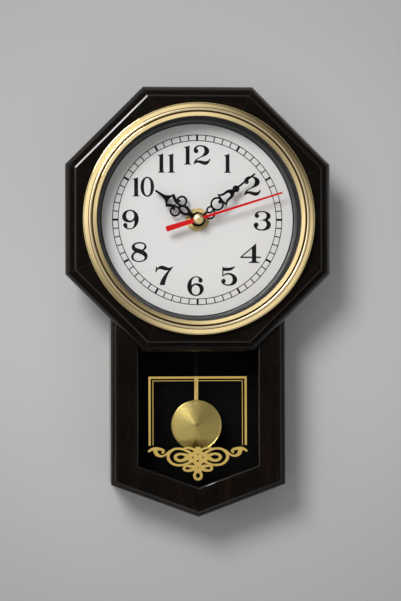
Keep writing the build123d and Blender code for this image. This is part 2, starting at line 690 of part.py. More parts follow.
# Each pinion has a leaf on its line of centres; each wheel a gap to take it
STEP_PHASE = partner_phase(STEP_TEETH, ROTOR_DIR + 180, ROTOR_LEAVES, ROTOR_DIR + 180)
SECOND_PHASE = partner_phase(SECOND_TEETH, STEP_DIR + 180, STEP_LEAVES, STEP_DIR + 180)
THIRD_PHASE = partner_phase(THIRD_TEETH, THIRD_DIR, SECOND_LEAVES, THIRD_DIR)
CENTRE_PHASE = partner_phase(CENTRE_TEETH, THIRD_DIR + 180, THIRD_LEAVES, THIRD_DIR + 180)
MINUTE_PHASE = partner_phase(MINUTE_TEETH, MINUTE_DIR, CANNON_TEETH, MINUTE_DIR)
HOUR_PHASE = partner_phase(HOUR_TEETH, MINUTE_DIR + 180, MINUTE_LEAVES, MINUTE_DIR + 180)
SETTING_PHASE = partner_phase(SETTING_TEETH, SETTING_DIR, MINUTE_TEETH, MINUTE_PHASE)

# Depths of the wheels' front faces, and where the front pivots start
STEP_FRONT = STEP_LAYER + WHEEL_T
SECOND_FRONT = SECOND_LAYER + WHEEL_T
THIRD_FRONT = THIRD_LAYER + WHEEL_T
CENTRE_FRONT = CENTRE_LAYER + WHEEL_T
MINUTE_FRONT = MINUTE_LAYER + WHEEL_T
FRONT_PIVOT = BRIDGE - SLIP
THIRD_PIVOT = TRAIN_FRONT - MOVE_WALL - CLEAR

with BuildPart() as rotor_pinion:
    pinion(ROTOR_LEAVES, STEP_MODULE, ROTOR_DIR + 180, STEP_LAYER - SLIP, STEP_FRONT + CLEAR, ROTOR_AT)
    disc(ARBOR_R, SHOULDER, FRONT_PIVOT, ROTOR_AT)
    pivots(FRONT_PIVOT, ROTOR_AT)
save(rotor_pinion, "rotor_pinion")

MAGNET_R, MAGNET_T = 2.9, 3.0
MAGNET_BACK = SECOND_LAYER - CLEAR
with BuildPart() as rotor_magnet:
    disc(MAGNET_R, MAGNET_BACK, MAGNET_BACK + MAGNET_T, ROTOR_AT)
    disc(ARBOR_R, MAGNET_BACK, MAGNET_BACK + MAGNET_T, ROTOR_AT, Mode.SUBTRACT)
save(rotor_magnet, "rotor_magnet")

with BuildPart() as step_wheel:
    wheel(STEP_TEETH, STEP_MODULE, STEP_PHASE, STEP_LAYER, STEP_AT)
    pinion(STEP_LEAVES, SECOND_MODULE, STEP_DIR + 180, STEP_FRONT, SECOND_FRONT + CLEAR, STEP_AT)
    disc(ARBOR_R, SHOULDER, FRONT_PIVOT, STEP_AT)
    pivots(FRONT_PIVOT, STEP_AT)
save(step_wheel, "step_wheel")

with BuildPart() as second_wheel:
    wheel(SECOND_TEETH, SECOND_MODULE, SECOND_PHASE, SECOND_LAYER)
    pinion(SECOND_LEAVES, THIRD_MODULE, THIRD_DIR, SECOND_FRONT, THIRD_FRONT + CLEAR)
    disc(ARBOR_R, SHOULDER, THIRD_LAYER)
    disc(PIVOT_R, COVER_IN - CLEAR, SHOULDER)
    disc(SECOND_R, THIRD_LAYER, SECOND_HAND + HAND_T + CAP_BITE)
save(second_wheel, "second_wheel")

with BuildPart() as third_wheel:
    wheel(THIRD_TEETH, THIRD_MODULE, THIRD_PHASE, THIRD_LAYER, THIRD_AT)
    pinion(THIRD_LEAVES, CENTRE_MODULE, THIRD_DIR + 180, THIRD_FRONT, CENTRE_FRONT + CLEAR, THIRD_AT)
    disc(ARBOR_R, SHOULDER, THIRD_PIVOT, THIRD_AT)
    pivots(THIRD_PIVOT, THIRD_AT)
save(third_wheel, "third_wheel")

with BuildPart() as centre_wheel:
    wheel(CENTRE_TEETH, CENTRE_MODULE, CENTRE_PHASE, CENTRE_LAYER)
    pinion(CANNON_TEETH, MINUTE_MODULE, MINUTE_DIR, CENTRE_FRONT, MINUTE_FRONT + SLIP)
    disc(MINUTE_R, CENTRE_LAYER, MINUTE_HAND + HAND_T)
    disc(SECOND_R + RUN, CENTRE_LAYER, MINUTE_HAND + HAND_T, CENTRE, Mode.SUBTRACT)
save(centre_wheel, "centre_wheel")

with BuildPart() as minute_wheel:
    wheel(MINUTE_TEETH, MINUTE_MODULE, MINUTE_PHASE, MINUTE_LAYER, MINUTE_AT)
    pinion(MINUTE_LEAVES, HOUR_MODULE, MINUTE_DIR + 180, MINUTE_FRONT, TRAIN_FRONT - SLIP, MINUTE_AT)
    disc(POST_R + RUN, MINUTE_LAYER, TRAIN_FRONT, MINUTE_AT, Mode.SUBTRACT)
save(minute_wheel, "minute_wheel")

with BuildPart() as hour_wheel:
    wheel(HOUR_TEETH, HOUR_MODULE, HOUR_PHASE, HOUR_LAYER)
    disc(HOUR_R, HOUR_LAYER, HOUR_HAND + HAND_T)
    disc(MINUTE_R + RUN, HOUR_LAYER, HOUR_HAND + HAND_T, CENTRE, Mode.SUBTRACT)
save(hour_wheel, "hour_wheel")

SETTING_R = 1.5
KNOB_R, KNOB_T, KNOB_SIDES = 7.0, 3.0, 16
KNOB_LIFT = 0.4
KNOB_REAR = MOVE_REAR - KNOB_T - KNOB_LIFT
with BuildPart() as set_knob:
    with BuildSketch(front_plane(KNOB_REAR, SETTING_AT)):
        RegularPolygon(KNOB_R, KNOB_SIDES)
    extrude(amount=KNOB_T)
    disc(SETTING_R, KNOB_REAR, MINUTE_LAYER, SETTING_AT)
    pinion(SETTING_TEETH, MINUTE_MODULE, SETTING_PHASE, MINUTE_LAYER - SLIP, MINUTE_FRONT + SLIP, SETTING_AT)
    disc(POST_R, MINUTE_LAYER, TRAIN_FRONT - CLEAR, SETTING_AT)
save(set_knob, "set_knob")

# Train bridge: three posts carry it; it steadies the quick arbors
BRIDGE_LEFT_GAP, BRIDGE_RIGHT_GAP = 2.8, 0.8
BRIDGE_ROOF = COIL_Z - FLANGE / 2 - BRIDGE_EDGE_R
BRIDGE_POSTS = [(-BRIDGE_HALF, BRIDGE_ROOF - BRIDGE_LEFT_GAP),
                (BRIDGE_HALF, BRIDGE_ROOF - BRIDGE_RIGHT_GAP), BRIDGE_LOW]
BRIDGE_POST_R, BRIDGE_STUD_R = 1.8, 1.0
THIRD_BOSS_R = 1.5
THIRD_ROOM_R = CENTRE_MODULE * (THIRD_LEAVES / 2 + 1) + CLEAR
with BuildPart() as train_bridge:
    with BuildSketch(front_plane(BRIDGE)):
        with Locations(*BRIDGE_POSTS):
            Circle(BRIDGE_EDGE_R)
        make_hull()
    extrude(amount=BRIDGE_T)
    for at in BRIDGE_POSTS:
        disc(BRIDGE_STUD_R, BRIDGE, BRIDGE + BRIDGE_T, at, Mode.SUBTRACT)
    for at in (STEP_AT, ROTOR_AT):
        disc(PIVOT_R + RUN, BRIDGE, BRIDGE + BRIDGE_T, at, Mode.SUBTRACT)
    disc(SECOND_R + RUN, BRIDGE, BRIDGE + BRIDGE_T, CENTRE, Mode.SUBTRACT)
    disc(THIRD_ROOM_R, BRIDGE, BRIDGE + BRIDGE_T, THIRD_AT, Mode.SUBTRACT)
save(train_bridge, "train_bridge")

# Stepping motor: stator loop round the rotor, coil on its upper limb
STATOR = MAGNET_BACK + (MAGNET_T - STATOR_T) / 2
POLE_GAP, POLE_W = 0.5, 1.9
LOWER_Z = ROTOR_AT[1]
STATOR_POSTS = [(sign * (STATOR_HALF - LIMB / 2), COIL_Z) for sign in (-1, 1)]
STATOR_POST_R, STATOR_STUD_R = 1.4, 0.8
with BuildPart() as stator:
    with BuildSketch(front_plane(STATOR)):
        with Locations((0, (COIL_Z + LOWER_Z) / 2)):
            Rectangle(2 * STATOR_HALF, COIL_Z - LOWER_Z + LIMB)
            Rectangle(2 * STATOR_HALF - 2 * LIMB, COIL_Z - LOWER_Z - LIMB, mode=Mode.SUBTRACT)
        with Locations(ROTOR_AT):
            Circle(MAGNET_R + POLE_GAP + POLE_W)
            Circle(MAGNET_R + POLE_GAP, mode=Mode.SUBTRACT)
        with Locations(*STATOR_POSTS):
            Circle(STATOR_STUD_R, mode=Mode.SUBTRACT)
    extrude(amount=STATOR_T)
save(stator, "stator")

BOBBIN_HALF, FLANGE_T, BOBBIN_WALL = 9.0, 1.0, 0.6
COIL_MID = STATOR + STATOR_T / 2
CORE_W = LIMB + 2 * BOBBIN_WALL
CORE_T = STATOR_T + 2 * BOBBIN_WALL


def coil_block(left, right, tall, deep, mode=Mode.ADD):
    """A block lying along the coil's axis."""
    box(left, right, COIL_Z - tall / 2, COIL_Z + tall / 2, COIL_MID - deep / 2, COIL_MID + deep / 2, mode)


with BuildPart() as coil_bobbin:
    coil_block(-BOBBIN_HALF, BOBBIN_HALF, CORE_W, CORE_T)
    for end in (-BOBBIN_HALF, BOBBIN_HALF - FLANGE_T):
        coil_block(end, end + FLANGE_T, FLANGE, FLANGE)
    coil_block(-BOBBIN_HALF, BOBBIN_HALF, LIMB, STATOR_T, Mode.SUBTRACT)
save(coil_bobbin, "coil_bobbin")

WIND_INSET, WIND_ROUND = 0.5, 2.0
WIND = FLANGE - 2 * WIND_INSET
WIND_REACH = BOBBIN_HALF - FLANGE_T
with BuildPart() as coil_winding:
    coil_block(-WIND_REACH, WIND_REACH, WIND, WIND)
    fillet(coil_winding.edges().filter_by(Axis.X), WIND_ROUND)
    coil_block(-WIND_REACH, WIND_REACH, CORE_W, CORE_T, Mode.SUBTRACT)
save(coil_winding, "coil_winding")

# Circuit board on the cover, with its crystal
PCB_T = 1.2
PCB_STAND = 0.8
PCB_BACK = COVER_IN + PCB_STAND
CAVITY_HALF = MOVE_HALF - MOVE_WALL
PCB_SIDE_GAP, PCB_TRAIN_GAP = 1.4, 3.2
PCB_LEFT = -CAVITY_HALF + PCB_SIDE_GAP
PCB_RIGHT = THIRD_AT[0] - PCB_TRAIN_GAP
PCB_LOW, PCB_HIGH = -10.0, 9.0
PCB_PIN_INSET, PCB_PIN_R, PCB_FOOT_R = 2.5, 0.8, 1.6
PCB_PINS = [(PCB_LEFT + PCB_PIN_INSET, PCB_LOW + PCB_PIN_INSET),
            (PCB_RIGHT - PCB_PIN_INSET, PCB_HIGH - PCB_PIN_INSET)]
CHIP_R, CHIP_T, CHIP_UP = 2.6, 0.9, 6.5
with BuildPart() as circuit_board:
    box(PCB_LEFT, PCB_RIGHT, PCB_LOW, PCB_HIGH, PCB_BACK, PCB_BACK + PCB_T)
    chip = ((PCB_LEFT + PCB_RIGHT) / 2, PCB_LOW + CHIP_UP)
    disc(CHIP_R, PCB_BACK + PCB_T, PCB_BACK + PCB_T + CHIP_T, chip)
    for pin in PCB_PINS:
        disc(PCB_PIN_R, PCB_BACK, PCB_BACK + PCB_T, pin, Mode.SUBTRACT)
save(circuit_board, "circuit_board")


def across_plane(x, z, depth):
    """A plane square to X: bars drawn on it run to the right."""
    return Plane(origin=(x, -depth, z - DIAL_DROP), x_dir=(0, 1, 0), z_dir=(1, 0, 0))


CRYSTAL_R, CRYSTAL_LEN, CRYSTAL_INSET = 1.0, 6.0, 3.5
with BuildPart() as quartz_crystal:
    crystal_depth = PCB_BACK + PCB_T + CRYSTAL_R
    with BuildSketch(across_plane(PCB_LEFT + CRYSTAL_INSET, PCB_HIGH - CRYSTAL_INSET, crystal_depth)):
        Circle(CRYSTAL_R)
    extrude(amount=CRYSTAL_LEN)
save(quartz_crystal, "quartz_crystal")

# Movement housing: train chamber, open cell bay and pendulum bay, threaded bushing on the front
COLUMN_R = 2.2
COLUMNS = [(sign * (CAVITY_HALF - COLUMN_R), z) for sign in (-1, 1)
           for z in (MOVE_TOP - MOVE_WALL - COLUMN_R, TRAIN_FLOOR + COLUMN_R)]
COVER_SCREW_R, COVER_SCREW_HEAD_R, COVER_SCREW_HEAD_T, COVER_SCREW_BITE = 0.9, 1.7, 1.0, 6.0
SWING_BAY_HALF = 20.0
SWING_AT = (0.0, SWING_PIVOT)
SWING_TENON_R = 1.0
SETTING_BOSS_R, SETTING_BOSS_H = 1.7, 1.2
STUD_PROUD = 0.3

with BuildPart() as movement_case:
    with BuildSketch(front_plane(MOVE_REAR, (0, (MOVE_TOP + MOVE_BOTTOM) / 2))):
        RectangleRounded(2 * MOVE_HALF, MOVE_TOP - MOVE_BOTTOM, MOVE_ROUND)
    extrude(amount=MOVE_FACE - MOVE_REAR)
    box(-CAVITY_HALF, CAVITY_HALF, TRAIN_FLOOR, MOVE_TOP - MOVE_WALL, MOVE_REAR, TRAIN_FRONT, Mode.SUBTRACT)
    box(-BAY_HALF, BAY_HALF, BAY_FLOOR, BAY_ROOF, MOVE_REAR, TRAIN_FRONT, Mode.SUBTRACT)
    box(-SWING_BAY_HALF, SWING_BAY_HALF, MOVE_BOTTOM, SWING_TOP, MOVE_REAR, TRAIN_FRONT, Mode.SUBTRACT)
    disc(BUSHING_R, MOVE_FACE, BUSHING_END)
    for column in COLUMNS:
        disc(COLUMN_R, COVER_IN, TRAIN_FRONT, column)
        disc(COVER_SCREW_R, COVER_IN, COVER_IN + COVER_SCREW_BITE + CLEAR, column, Mode.SUBTRACT)
    for post in BRIDGE_POSTS:
        disc(BRIDGE_POST_R, BRIDGE + BRIDGE_T, TRAIN_FRONT, post)
        disc(BRIDGE_STUD_R, BRIDGE - STUD_PROUD, BRIDGE + BRIDGE_T, post)
    for post in STATOR_POSTS:
        disc(STATOR_POST_R, STATOR + STATOR_T, TRAIN_FRONT, post)
        disc(STATOR_STUD_R, STATOR - STUD_PROUD, STATOR + STATOR_T, post)
    disc(THIRD_BOSS_R, THIRD_PIVOT + SLIP, TRAIN_FRONT, THIRD_AT)
    disc(PIVOT_R + RUN, THIRD_PIVOT + SLIP, THIRD_PIVOT + PIVOT_LEN + CLEAR, THIRD_AT, Mode.SUBTRACT)
    disc(POST_R, MINUTE_LAYER - CLEAR, TRAIN_FRONT, MINUTE_AT)
    disc(SETTING_BOSS_R, TRAIN_FRONT - SETTING_BOSS_H, TRAIN_FRONT, SETTING_AT)
    disc(POST_R + RUN, TRAIN_FRONT - SETTING_BOSS_H, TRAIN_FRONT, SETTING_AT, Mode.SUBTRACT)
    disc(SWING_BOSS_R, TRAIN_FRONT - SWING_BOSS_H, TRAIN_FRONT, SWING_AT)
    disc(SWING_TENON_R, TRAIN_FRONT - SWING_BOSS_H, TRAIN_FRONT, SWING_AT, Mode.SUBTRACT)
    disc(HOUR_R + RUN, TRAIN_FRONT, BUSHING_END, CENTRE, Mode.SUBTRACT)
save(movement_case, "movement_case")

COVER_BOSS_R = 1.5
with BuildPart() as movement_cover:
    box(SLIP - CAVITY_HALF, CAVITY_HALF - SLIP, TRAIN_FLOOR + SLIP, MOVE_TOP - MOVE_WALL - SLIP,
        MOVE_REAR, COVER_IN)
    for at in (CENTRE, THIRD_AT, STEP_AT, ROTOR_AT):
        disc(COVER_BOSS_R, COVER_IN, COVER_IN + COVER_BOSS_H, at)
        disc(PIVOT_R + RUN, COVER_IN - CLEAR - SLIP, COVER_IN + COVER_BOSS_H, at, Mode.SUBTRACT)
    for pin in PCB_PINS:
        disc(PCB_FOOT_R, COVER_IN, PCB_BACK, pin)
        disc(PCB_PIN_R, PCB_BACK, PCB_BACK + PCB_T + STUD_PROUD, pin)
    disc(SETTING_R + RUN, MOVE_REAR, COVER_IN, SETTING_AT, Mode.SUBTRACT)
    for column in COLUMNS:
        disc(COVER_SCREW_R + SLIP, MOVE_REAR, COVER_IN, column, Mode.SUBTRACT)
save(movement_cover, "movement_cover")

with BuildPart() as cover_screws:
    for column in COLUMNS:
        disc(COVER_SCREW_HEAD_R, MOVE_REAR - COVER_SCREW_HEAD_T, MOVE_REAR, column)
        disc(COVER_SCREW_R, MOVE_REAR, COVER_IN + COVER_SCREW_BITE, column)
save(cover_screws, "cover_screws")

# Cell lying across the bay, and its contacts
CELL_Z = (BAY_FLOOR + BAY_ROOF) / 2
CELL_EDGE = 0.6
NUB_R, NUB_LEN = 2.7, 1.2

with BuildPart() as battery:
    with BuildSketch(across_plane(-CELL_LEN / 2, CELL_Z, CELL_DEPTH)):
        Circle(CELL_R)
    extrude(amount=CELL_LEN - NUB_LEN)
    chamfer(battery.edges(), CELL_EDGE)
    with BuildSketch(across_plane(CELL_LEN / 2 - NUB_LEN, CELL_Z, CELL_DEPTH)):
        Circle(NUB_R)
    extrude(amount=NUB_LEN)
save(battery, "battery")

CONTACT_T, CONTACT_HALF, TOUCH_HALF = 0.5, 5.5, 2.0
for sign, node in ((1, "contact_positive"), (-1, "contact_negative")):
    wall = sign * BAY_HALF
    face = wall - sign * CONTACT_T
    touch = sign * (CELL_LEN / 2 + CLEAR)
    with BuildPart() as contact:
        box(min(wall, face), max(wall, face), CELL_Z - CONTACT_HALF, CELL_Z + CONTACT_HALF,
            CELL_DEPTH - CONTACT_HALF, CELL_DEPTH + CONTACT_HALF)
        box(min(face, touch), max(face, touch), CELL_Z - TOUCH_HALF, CELL_Z + TOUCH_HALF,
            CELL_DEPTH - TOUCH_HALF, CELL_DEPTH + TOUCH_HALF)
    save(contact, node)

# Pendulum drive: coil, pivot screw, arm with magnet and hook
SWING_SEAT = TRAIN_FRONT - SWING_BOSS_H
PIN_LEN, PIN_HEAD_R, PIN_HEAD_T = 4.6, 2.6, 1.2
ARM_BACK = SWING_SEAT - PIN_LEN
COIL_EYE_R = 2.5
with BuildPart() as drive_coil:
    disc(DRIVE_COIL_R, TRAIN_FRONT - DRIVE_COIL_T, TRAIN_FRONT, (0, MAGNET_Z))
    disc(COIL_EYE_R, TRAIN_FRONT - DRIVE_COIL_T, TRAIN_FRONT, (0, MAGNET_Z), Mode.SUBTRACT)
save(drive_coil, "drive_coil")

with BuildPart() as swing_pin:
    disc(SWING_TENON_R, SWING_SEAT, TRAIN_FRONT, SWING_AT)
    disc(SWING_PIN_R, ARM_BACK - CLEAR, SWING_SEAT, SWING_AT)
    disc(PIN_HEAD_R, ARM_BACK - CLEAR - PIN_HEAD_T, ARM_BACK - CLEAR, SWING_AT)
save(swing_pin, "swing_pin")

ARM_W, ARM_HUB_R = 6.0, 3.2
PEG_R, PEG_LEN = 1.2, 4.4
with BuildPart() as swing_arm:
    disc(ARM_HUB_R, ARM_BACK, SWING_SEAT - CLEAR, SWING_AT)
    with BuildSketch(front_plane(ARM_BACK, (0, (SWING_PIVOT + HOOK_Z) / 2))):
        SlotOverall(HOOK_REACH + ARM_W, ARM_W, rotation=90)
    extrude(amount=ARM_T)
    disc(SWING_PIN_R + RUN, ARM_BACK, SWING_SEAT - CLEAR, SWING_AT, Mode.SUBTRACT)
    disc(PEG_R, ARM_BACK - PEG_LEN, ARM_BACK, (0, HOOK_Z))
save(swing_arm, "swing_arm")

SWING_MAGNET_R, MAGNET_AIR = 4.0, 0.7
with BuildPart() as swing_magnet:
    disc(SWING_MAGNET_R, ARM_BACK + ARM_T, TRAIN_FRONT - DRIVE_COIL_T - MAGNET_AIR, (0, MAGNET_Z))
save(swing_magnet, "swing_magnet")

ROD_STAND, ROD_EYE_R, ROD_LAP = 2.2, 3.4, 12.7
ROD_BACK = ARM_BACK - ROD_STAND - ROD_T
ROD_END = BOB_Z - ROD_LAP
with BuildPart() as pendulum_rod:
    with BuildSketch(front_plane(ROD_BACK)):
        with Locations((0, (HOOK_Z + ROD_END) / 2)):
            Rectangle(ROD_W, HOOK_Z - ROD_END)
        with Locations((0, HOOK_Z)):
            Circle(ROD_EYE_R)
            Circle(PEG_R, mode=Mode.SUBTRACT)
    extrude(amount=ROD_T)
save(pendulum_rod, "pendulum_rod")

RIM_H, RIM_BEAD_R, BOB_EDGE, CONE = 1.6, 0.5, 0.4, 2.6
BOB_BACK = ROD_BACK + ROD_T
BOB_RIM = BOB_BACK + RIM_H
with BuildPart() as pendulum_bob:
    with BuildSketch(turning_plane((0, BOB_Z))):
        with BuildLine():
            face_edge = BOB_R - 2 * RIM_BEAD_R
            bead_top = (BOB_R - RIM_BEAD_R, BOB_RIM + RIM_BEAD_R)
            Polyline((0, BOB_BACK), (BOB_R - BOB_EDGE, BOB_BACK), (BOB_R, BOB_BACK + BOB_EDGE),
                     (BOB_R, BOB_RIM))
            ThreePointArc((BOB_R, BOB_RIM), bead_top, (face_edge, BOB_RIM))
            Polyline((face_edge, BOB_RIM), (0, BOB_RIM + CONE), (0, BOB_BACK))
        make_face()
    revolve(axis=arbor((0, BOB_Z)))
save(pendulum_bob, "pendulum_bob")


# Hands, drawn pointing at twelve and turned to the photographed time

def hand_plane(depth, angle):
    """A hand's own plane: local y runs along the hand."""
    a = math.radians(angle)
    return Plane(origin=(0, -depth, -DIAL_DROP), x_dir=(math.cos(a), 0, -math.sin(a)), z_dir=(0, -1, 0))


def scaled(points, tip, side=1):
    """Points given as a distance across the hand and a share of its length."""
    return [(side * x, y * tip) for x, y in points]


def half_outline(curve, closing, tip, side, mode=Mode.ADD):
    """One half of a symmetrical hand: a smooth curve, closed by straight lines."""
    with BuildLine() as outline:
        Spline(*scaled(curve, tip, side))
        Polyline(*scaled([curve[-1], *closing, curve[0]], tip, side))
    make_face(outline.edges(), mode=mode)


# Distances across the hour hand in millimetres, along it as shares of its length
HOUR_HUB_R, HOUR_NECK_W, HOUR_NECK_LEN = 5.2, 3.4, 5.0
TEAR_AT, TEAR_W, TEAR_LEN, TEAR_EYE_W, TEAR_EYE_LEN = 0.322, 3.5, 5.0, 1.45, 2.9
CURL_AT, CURL_X, CURL_R, CURL_EYE_R = (0.454, 4.3, 3.95, 2.5)
CURL_DOT, CURL_DOT_R = (-0.9, 1.75), 1.0
SPADE = [(0.6, 1.0), (0.9, 0.875), (1.65, 0.768), (3.1, 0.708), (5.6, 0.662)]
SPADE_HEEL = [(3.9, 0.585), (3.2, 0.54), (0, 0.5), (0, 1.0)]
SPADE_EYE = [(2.9, 0.662), (1.5, 0.676), (0, 0.682)]

with BuildPart() as hour_hand:
    with BuildSketch(hand_plane(HOUR_HAND, HOUR_ANGLE)):
        Circle(HOUR_HUB_R)
        with Locations((0, HOUR_HUB_R + HOUR_NECK_LEN / 2 - 1)):
            Rectangle(HOUR_NECK_W, HOUR_NECK_LEN)
        with Locations((0, TEAR_AT * HOUR_TIP)):
            Ellipse(TEAR_W, TEAR_LEN)
        for side in (-1, 1):
            half_outline(SPADE, SPADE_HEEL, HOUR_TIP, side)
            half_outline(SPADE_EYE, [(0, 0.514)], HOUR_TIP, side, Mode.SUBTRACT)
        with Locations((-CURL_X, CURL_AT * HOUR_TIP), (CURL_X, CURL_AT * HOUR_TIP)):
            Circle(CURL_R)
            Circle(CURL_EYE_R, mode=Mode.SUBTRACT)
        for side in (-1, 1):
            with Locations((side * (CURL_X + CURL_DOT[0]), CURL_AT * HOUR_TIP + CURL_DOT[1])):
                Circle(CURL_DOT_R)
        with Locations((0, TEAR_AT * HOUR_TIP)):
            Ellipse(TEAR_EYE_W, TEAR_EYE_LEN, mode=Mode.SUBTRACT)
        Circle(HOUR_R, mode=Mode.SUBTRACT)
    extrude(amount=HAND_T)
save(hour_hand, "hour_hand")

# The same for the minute hand
NECK_W, NECK_LEN = 1.6, 5.0
SIDE_LOOP_AT, SIDE_LOOP_X, SIDE_LOOP_R, SIDE_LOOP_EYE_R, SIDE_LOOP_END = 0.172, 2.0, 4.2, 2.95, 0.6
EYELET_AT, EYELET_W, EYELET_LEN, EYELET_EYE_W, EYELET_EYE_LEN = 0.207, 2.55, 3.0, 1.3, 1.7
HOOP_AT, HOOP_R, HOOP_EYE_R = 0.334, 4.95, 3.55
HOOP_DOTS = [(0, 2.6, 1.4), (0.7, 3.4, 1.2)]
LYRE = [(5.6, 0.42), (3.8, 0.463), (3.4, 0.506), (3.3, 0.552), (2.7, 0.588), (1.4, 0.622)]
LYRE_FOOT = [(0, 0.622), (0, 0.405), (3.3, 0.41)]
LYRE_EYE = [(0, 0.557), (1.1, 0.548), (1.6, 0.522), (1.75, 0.49), (2.2, 0.458), (3.2, 0.436)]
PEARL_AT, PEARL_R = 0.664, 2.5
SPIKE_FOOT_W, SPIKE_TIP_W = 1.5, 1.3

with BuildPart() as minute_hand:
    with BuildSketch(hand_plane(MINUTE_HAND, MINUTE_ANGLE)):
        with Locations((SIDE_LOOP_X, SIDE_LOOP_AT * MINUTE_TIP)):
            Circle(SIDE_LOOP_R)
            Circle(SIDE_LOOP_EYE_R, mode=Mode.SUBTRACT)
        with Locations((SIDE_LOOP_END - SIDE_LOOP_R, SIDE_LOOP_AT * MINUTE_TIP)):
            Rectangle(2 * SIDE_LOOP_R, 2 * SIDE_LOOP_R, mode=Mode.SUBTRACT)
        Circle(HUB_R)
        with Locations((0, HUB_R + NECK_LEN / 2 - 1)):
            Rectangle(NECK_W, NECK_LEN)
        with Locations((0, EYELET_AT * MINUTE_TIP)):
            Ellipse(EYELET_W, EYELET_LEN)
            Ellipse(EYELET_EYE_W, EYELET_EYE_LEN, mode=Mode.SUBTRACT)
        for side in (-1, 1):
            half_outline(LYRE, LYRE_FOOT, MINUTE_TIP, side)
            half_outline(LYRE_EYE, [(0, 0.425)], MINUTE_TIP, side, Mode.SUBTRACT)
        with Locations((0, HOOP_AT * MINUTE_TIP)):
            Circle(HOOP_R)
            Circle(HOOP_EYE_R, mode=Mode.SUBTRACT)
        for x, y, radius in HOOP_DOTS:
            with Locations((x, HOOP_AT * MINUTE_TIP + y)):
                Circle(radius)
        with Locations((0, PEARL_AT * MINUTE_TIP)):
            Circle(PEARL_R)
        Polygon((-SPIKE_FOOT_W / 2, PEARL_AT * MINUTE_TIP), (SPIKE_FOOT_W / 2, PEARL_AT * MINUTE_TIP),
                (SPIKE_TIP_W / 2, MINUTE_TIP), (-SPIKE_TIP_W / 2, MINUTE_TIP), align=None)
        Circle(MINUTE_R, mode=Mode.SUBTRACT)
    extrude(amount=HAND_T)
save(minute_hand, "minute_hand")

TAIL_W, TAIL_ROUND, NEEDLE_W, NEEDLE_TIP_W, SECOND_HUB_R = 4.0, 0.8, 2.0, 1.3, 2.6
TAIL_WAIST, WAIST_W = -4.0, 3.2
with BuildPart() as second_hand:
    with BuildSketch(hand_plane(SECOND_HAND, SECOND_ANGLE)) as outline:
        Polygon((-NEEDLE_TIP_W / 2, SECOND_TIP), (-NEEDLE_W / 2, 0), (-WAIST_W / 2, TAIL_WAIST),
                (-TAIL_W / 2, -SECOND_TAIL), (TAIL_W / 2, -SECOND_TAIL), (WAIST_W / 2, TAIL_WAIST),
                (NEEDLE_W / 2, 0), (NEEDLE_TIP_W / 2, SECOND_TIP), align=None)
        fillet(outline.vertices().sort_by(Axis.Y)[:2], TAIL_ROUND)
        Circle(SECOND_HUB_R)
        Circle(SECOND_R, mode=Mode.SUBTRACT)
    extrude(amount=HAND_T)
save(second_hand, "second_hand")

CAP_FOOT = SECOND_HAND + HAND_T
CAP_RIM = 0.5
with BuildPart() as second_cap:
    with BuildSketch(turning_plane()):
        with BuildLine():
            Polyline((0, CAP_FOOT + CAP_H), (0, CAP_FOOT), (CAP_R, CAP_FOOT), (CAP_R, CAP_FOOT + CAP_RIM))
            dome(CAP_R, CAP_FOOT + CAP_RIM, CAP_H - CAP_RIM)
        make_face()
    revolve(axis=arbor())
    disc(SECOND_R, CAP_FOOT, CAP_FOOT + CAP_BITE, CENTRE, Mode.SUBTRACT)
save(second_cap, "second_cap")
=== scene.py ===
"""Looks, stage and camera of the octagonal drop wall clock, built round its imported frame."""
import cmath
import json
import math

import bmesh
import bpy
from bpy.props import FloatProperty, FloatVectorProperty, PointerProperty
from mathutils import Matrix, Vector


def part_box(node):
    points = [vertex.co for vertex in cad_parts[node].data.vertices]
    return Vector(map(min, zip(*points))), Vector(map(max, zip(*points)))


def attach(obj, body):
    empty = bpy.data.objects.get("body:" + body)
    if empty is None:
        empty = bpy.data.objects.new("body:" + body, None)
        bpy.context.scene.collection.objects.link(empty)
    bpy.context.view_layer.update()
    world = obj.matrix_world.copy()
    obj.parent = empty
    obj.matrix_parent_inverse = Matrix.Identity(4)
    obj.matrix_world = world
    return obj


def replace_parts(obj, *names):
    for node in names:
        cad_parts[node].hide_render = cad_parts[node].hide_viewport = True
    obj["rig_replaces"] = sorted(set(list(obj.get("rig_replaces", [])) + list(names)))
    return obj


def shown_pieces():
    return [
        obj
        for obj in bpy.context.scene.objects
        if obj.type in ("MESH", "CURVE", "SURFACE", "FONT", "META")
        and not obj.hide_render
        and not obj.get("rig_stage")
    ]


bl_info = {
    "name": "Octagonal drop wall clock",
    "version": (1, 0, 0),
    "blender": (4, 5, 0),
    "location": "3D View > Sidebar > Clock",
    "description": "Dresses the packed clock: case, dial, glass, pendulum, movement and stage",
    "category": "Object",
}

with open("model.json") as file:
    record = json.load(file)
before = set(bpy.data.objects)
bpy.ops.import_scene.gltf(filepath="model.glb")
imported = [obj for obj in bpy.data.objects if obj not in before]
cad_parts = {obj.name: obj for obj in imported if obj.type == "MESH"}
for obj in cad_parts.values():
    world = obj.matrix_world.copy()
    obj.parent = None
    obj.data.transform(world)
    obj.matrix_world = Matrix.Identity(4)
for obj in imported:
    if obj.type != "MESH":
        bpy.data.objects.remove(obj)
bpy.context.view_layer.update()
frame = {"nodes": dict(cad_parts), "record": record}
NODES = frame["nodes"]
RECORD = frame["record"]
BODY_OF = {node: body for body, held in RECORD["behaviour"]["bodies"].items() for node in held}
SLOT_OF = {part["node"]: part["material_slot"] for part in RECORD["subparts"]}


def middle_z(node):
    """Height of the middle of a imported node's box."""
    low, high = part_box(node)
    return (low.z + high.z) / 2


def depths(node):
    """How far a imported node's rear and front stand out from the wall."""
    low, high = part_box(node)
    return -high.y, -low.y


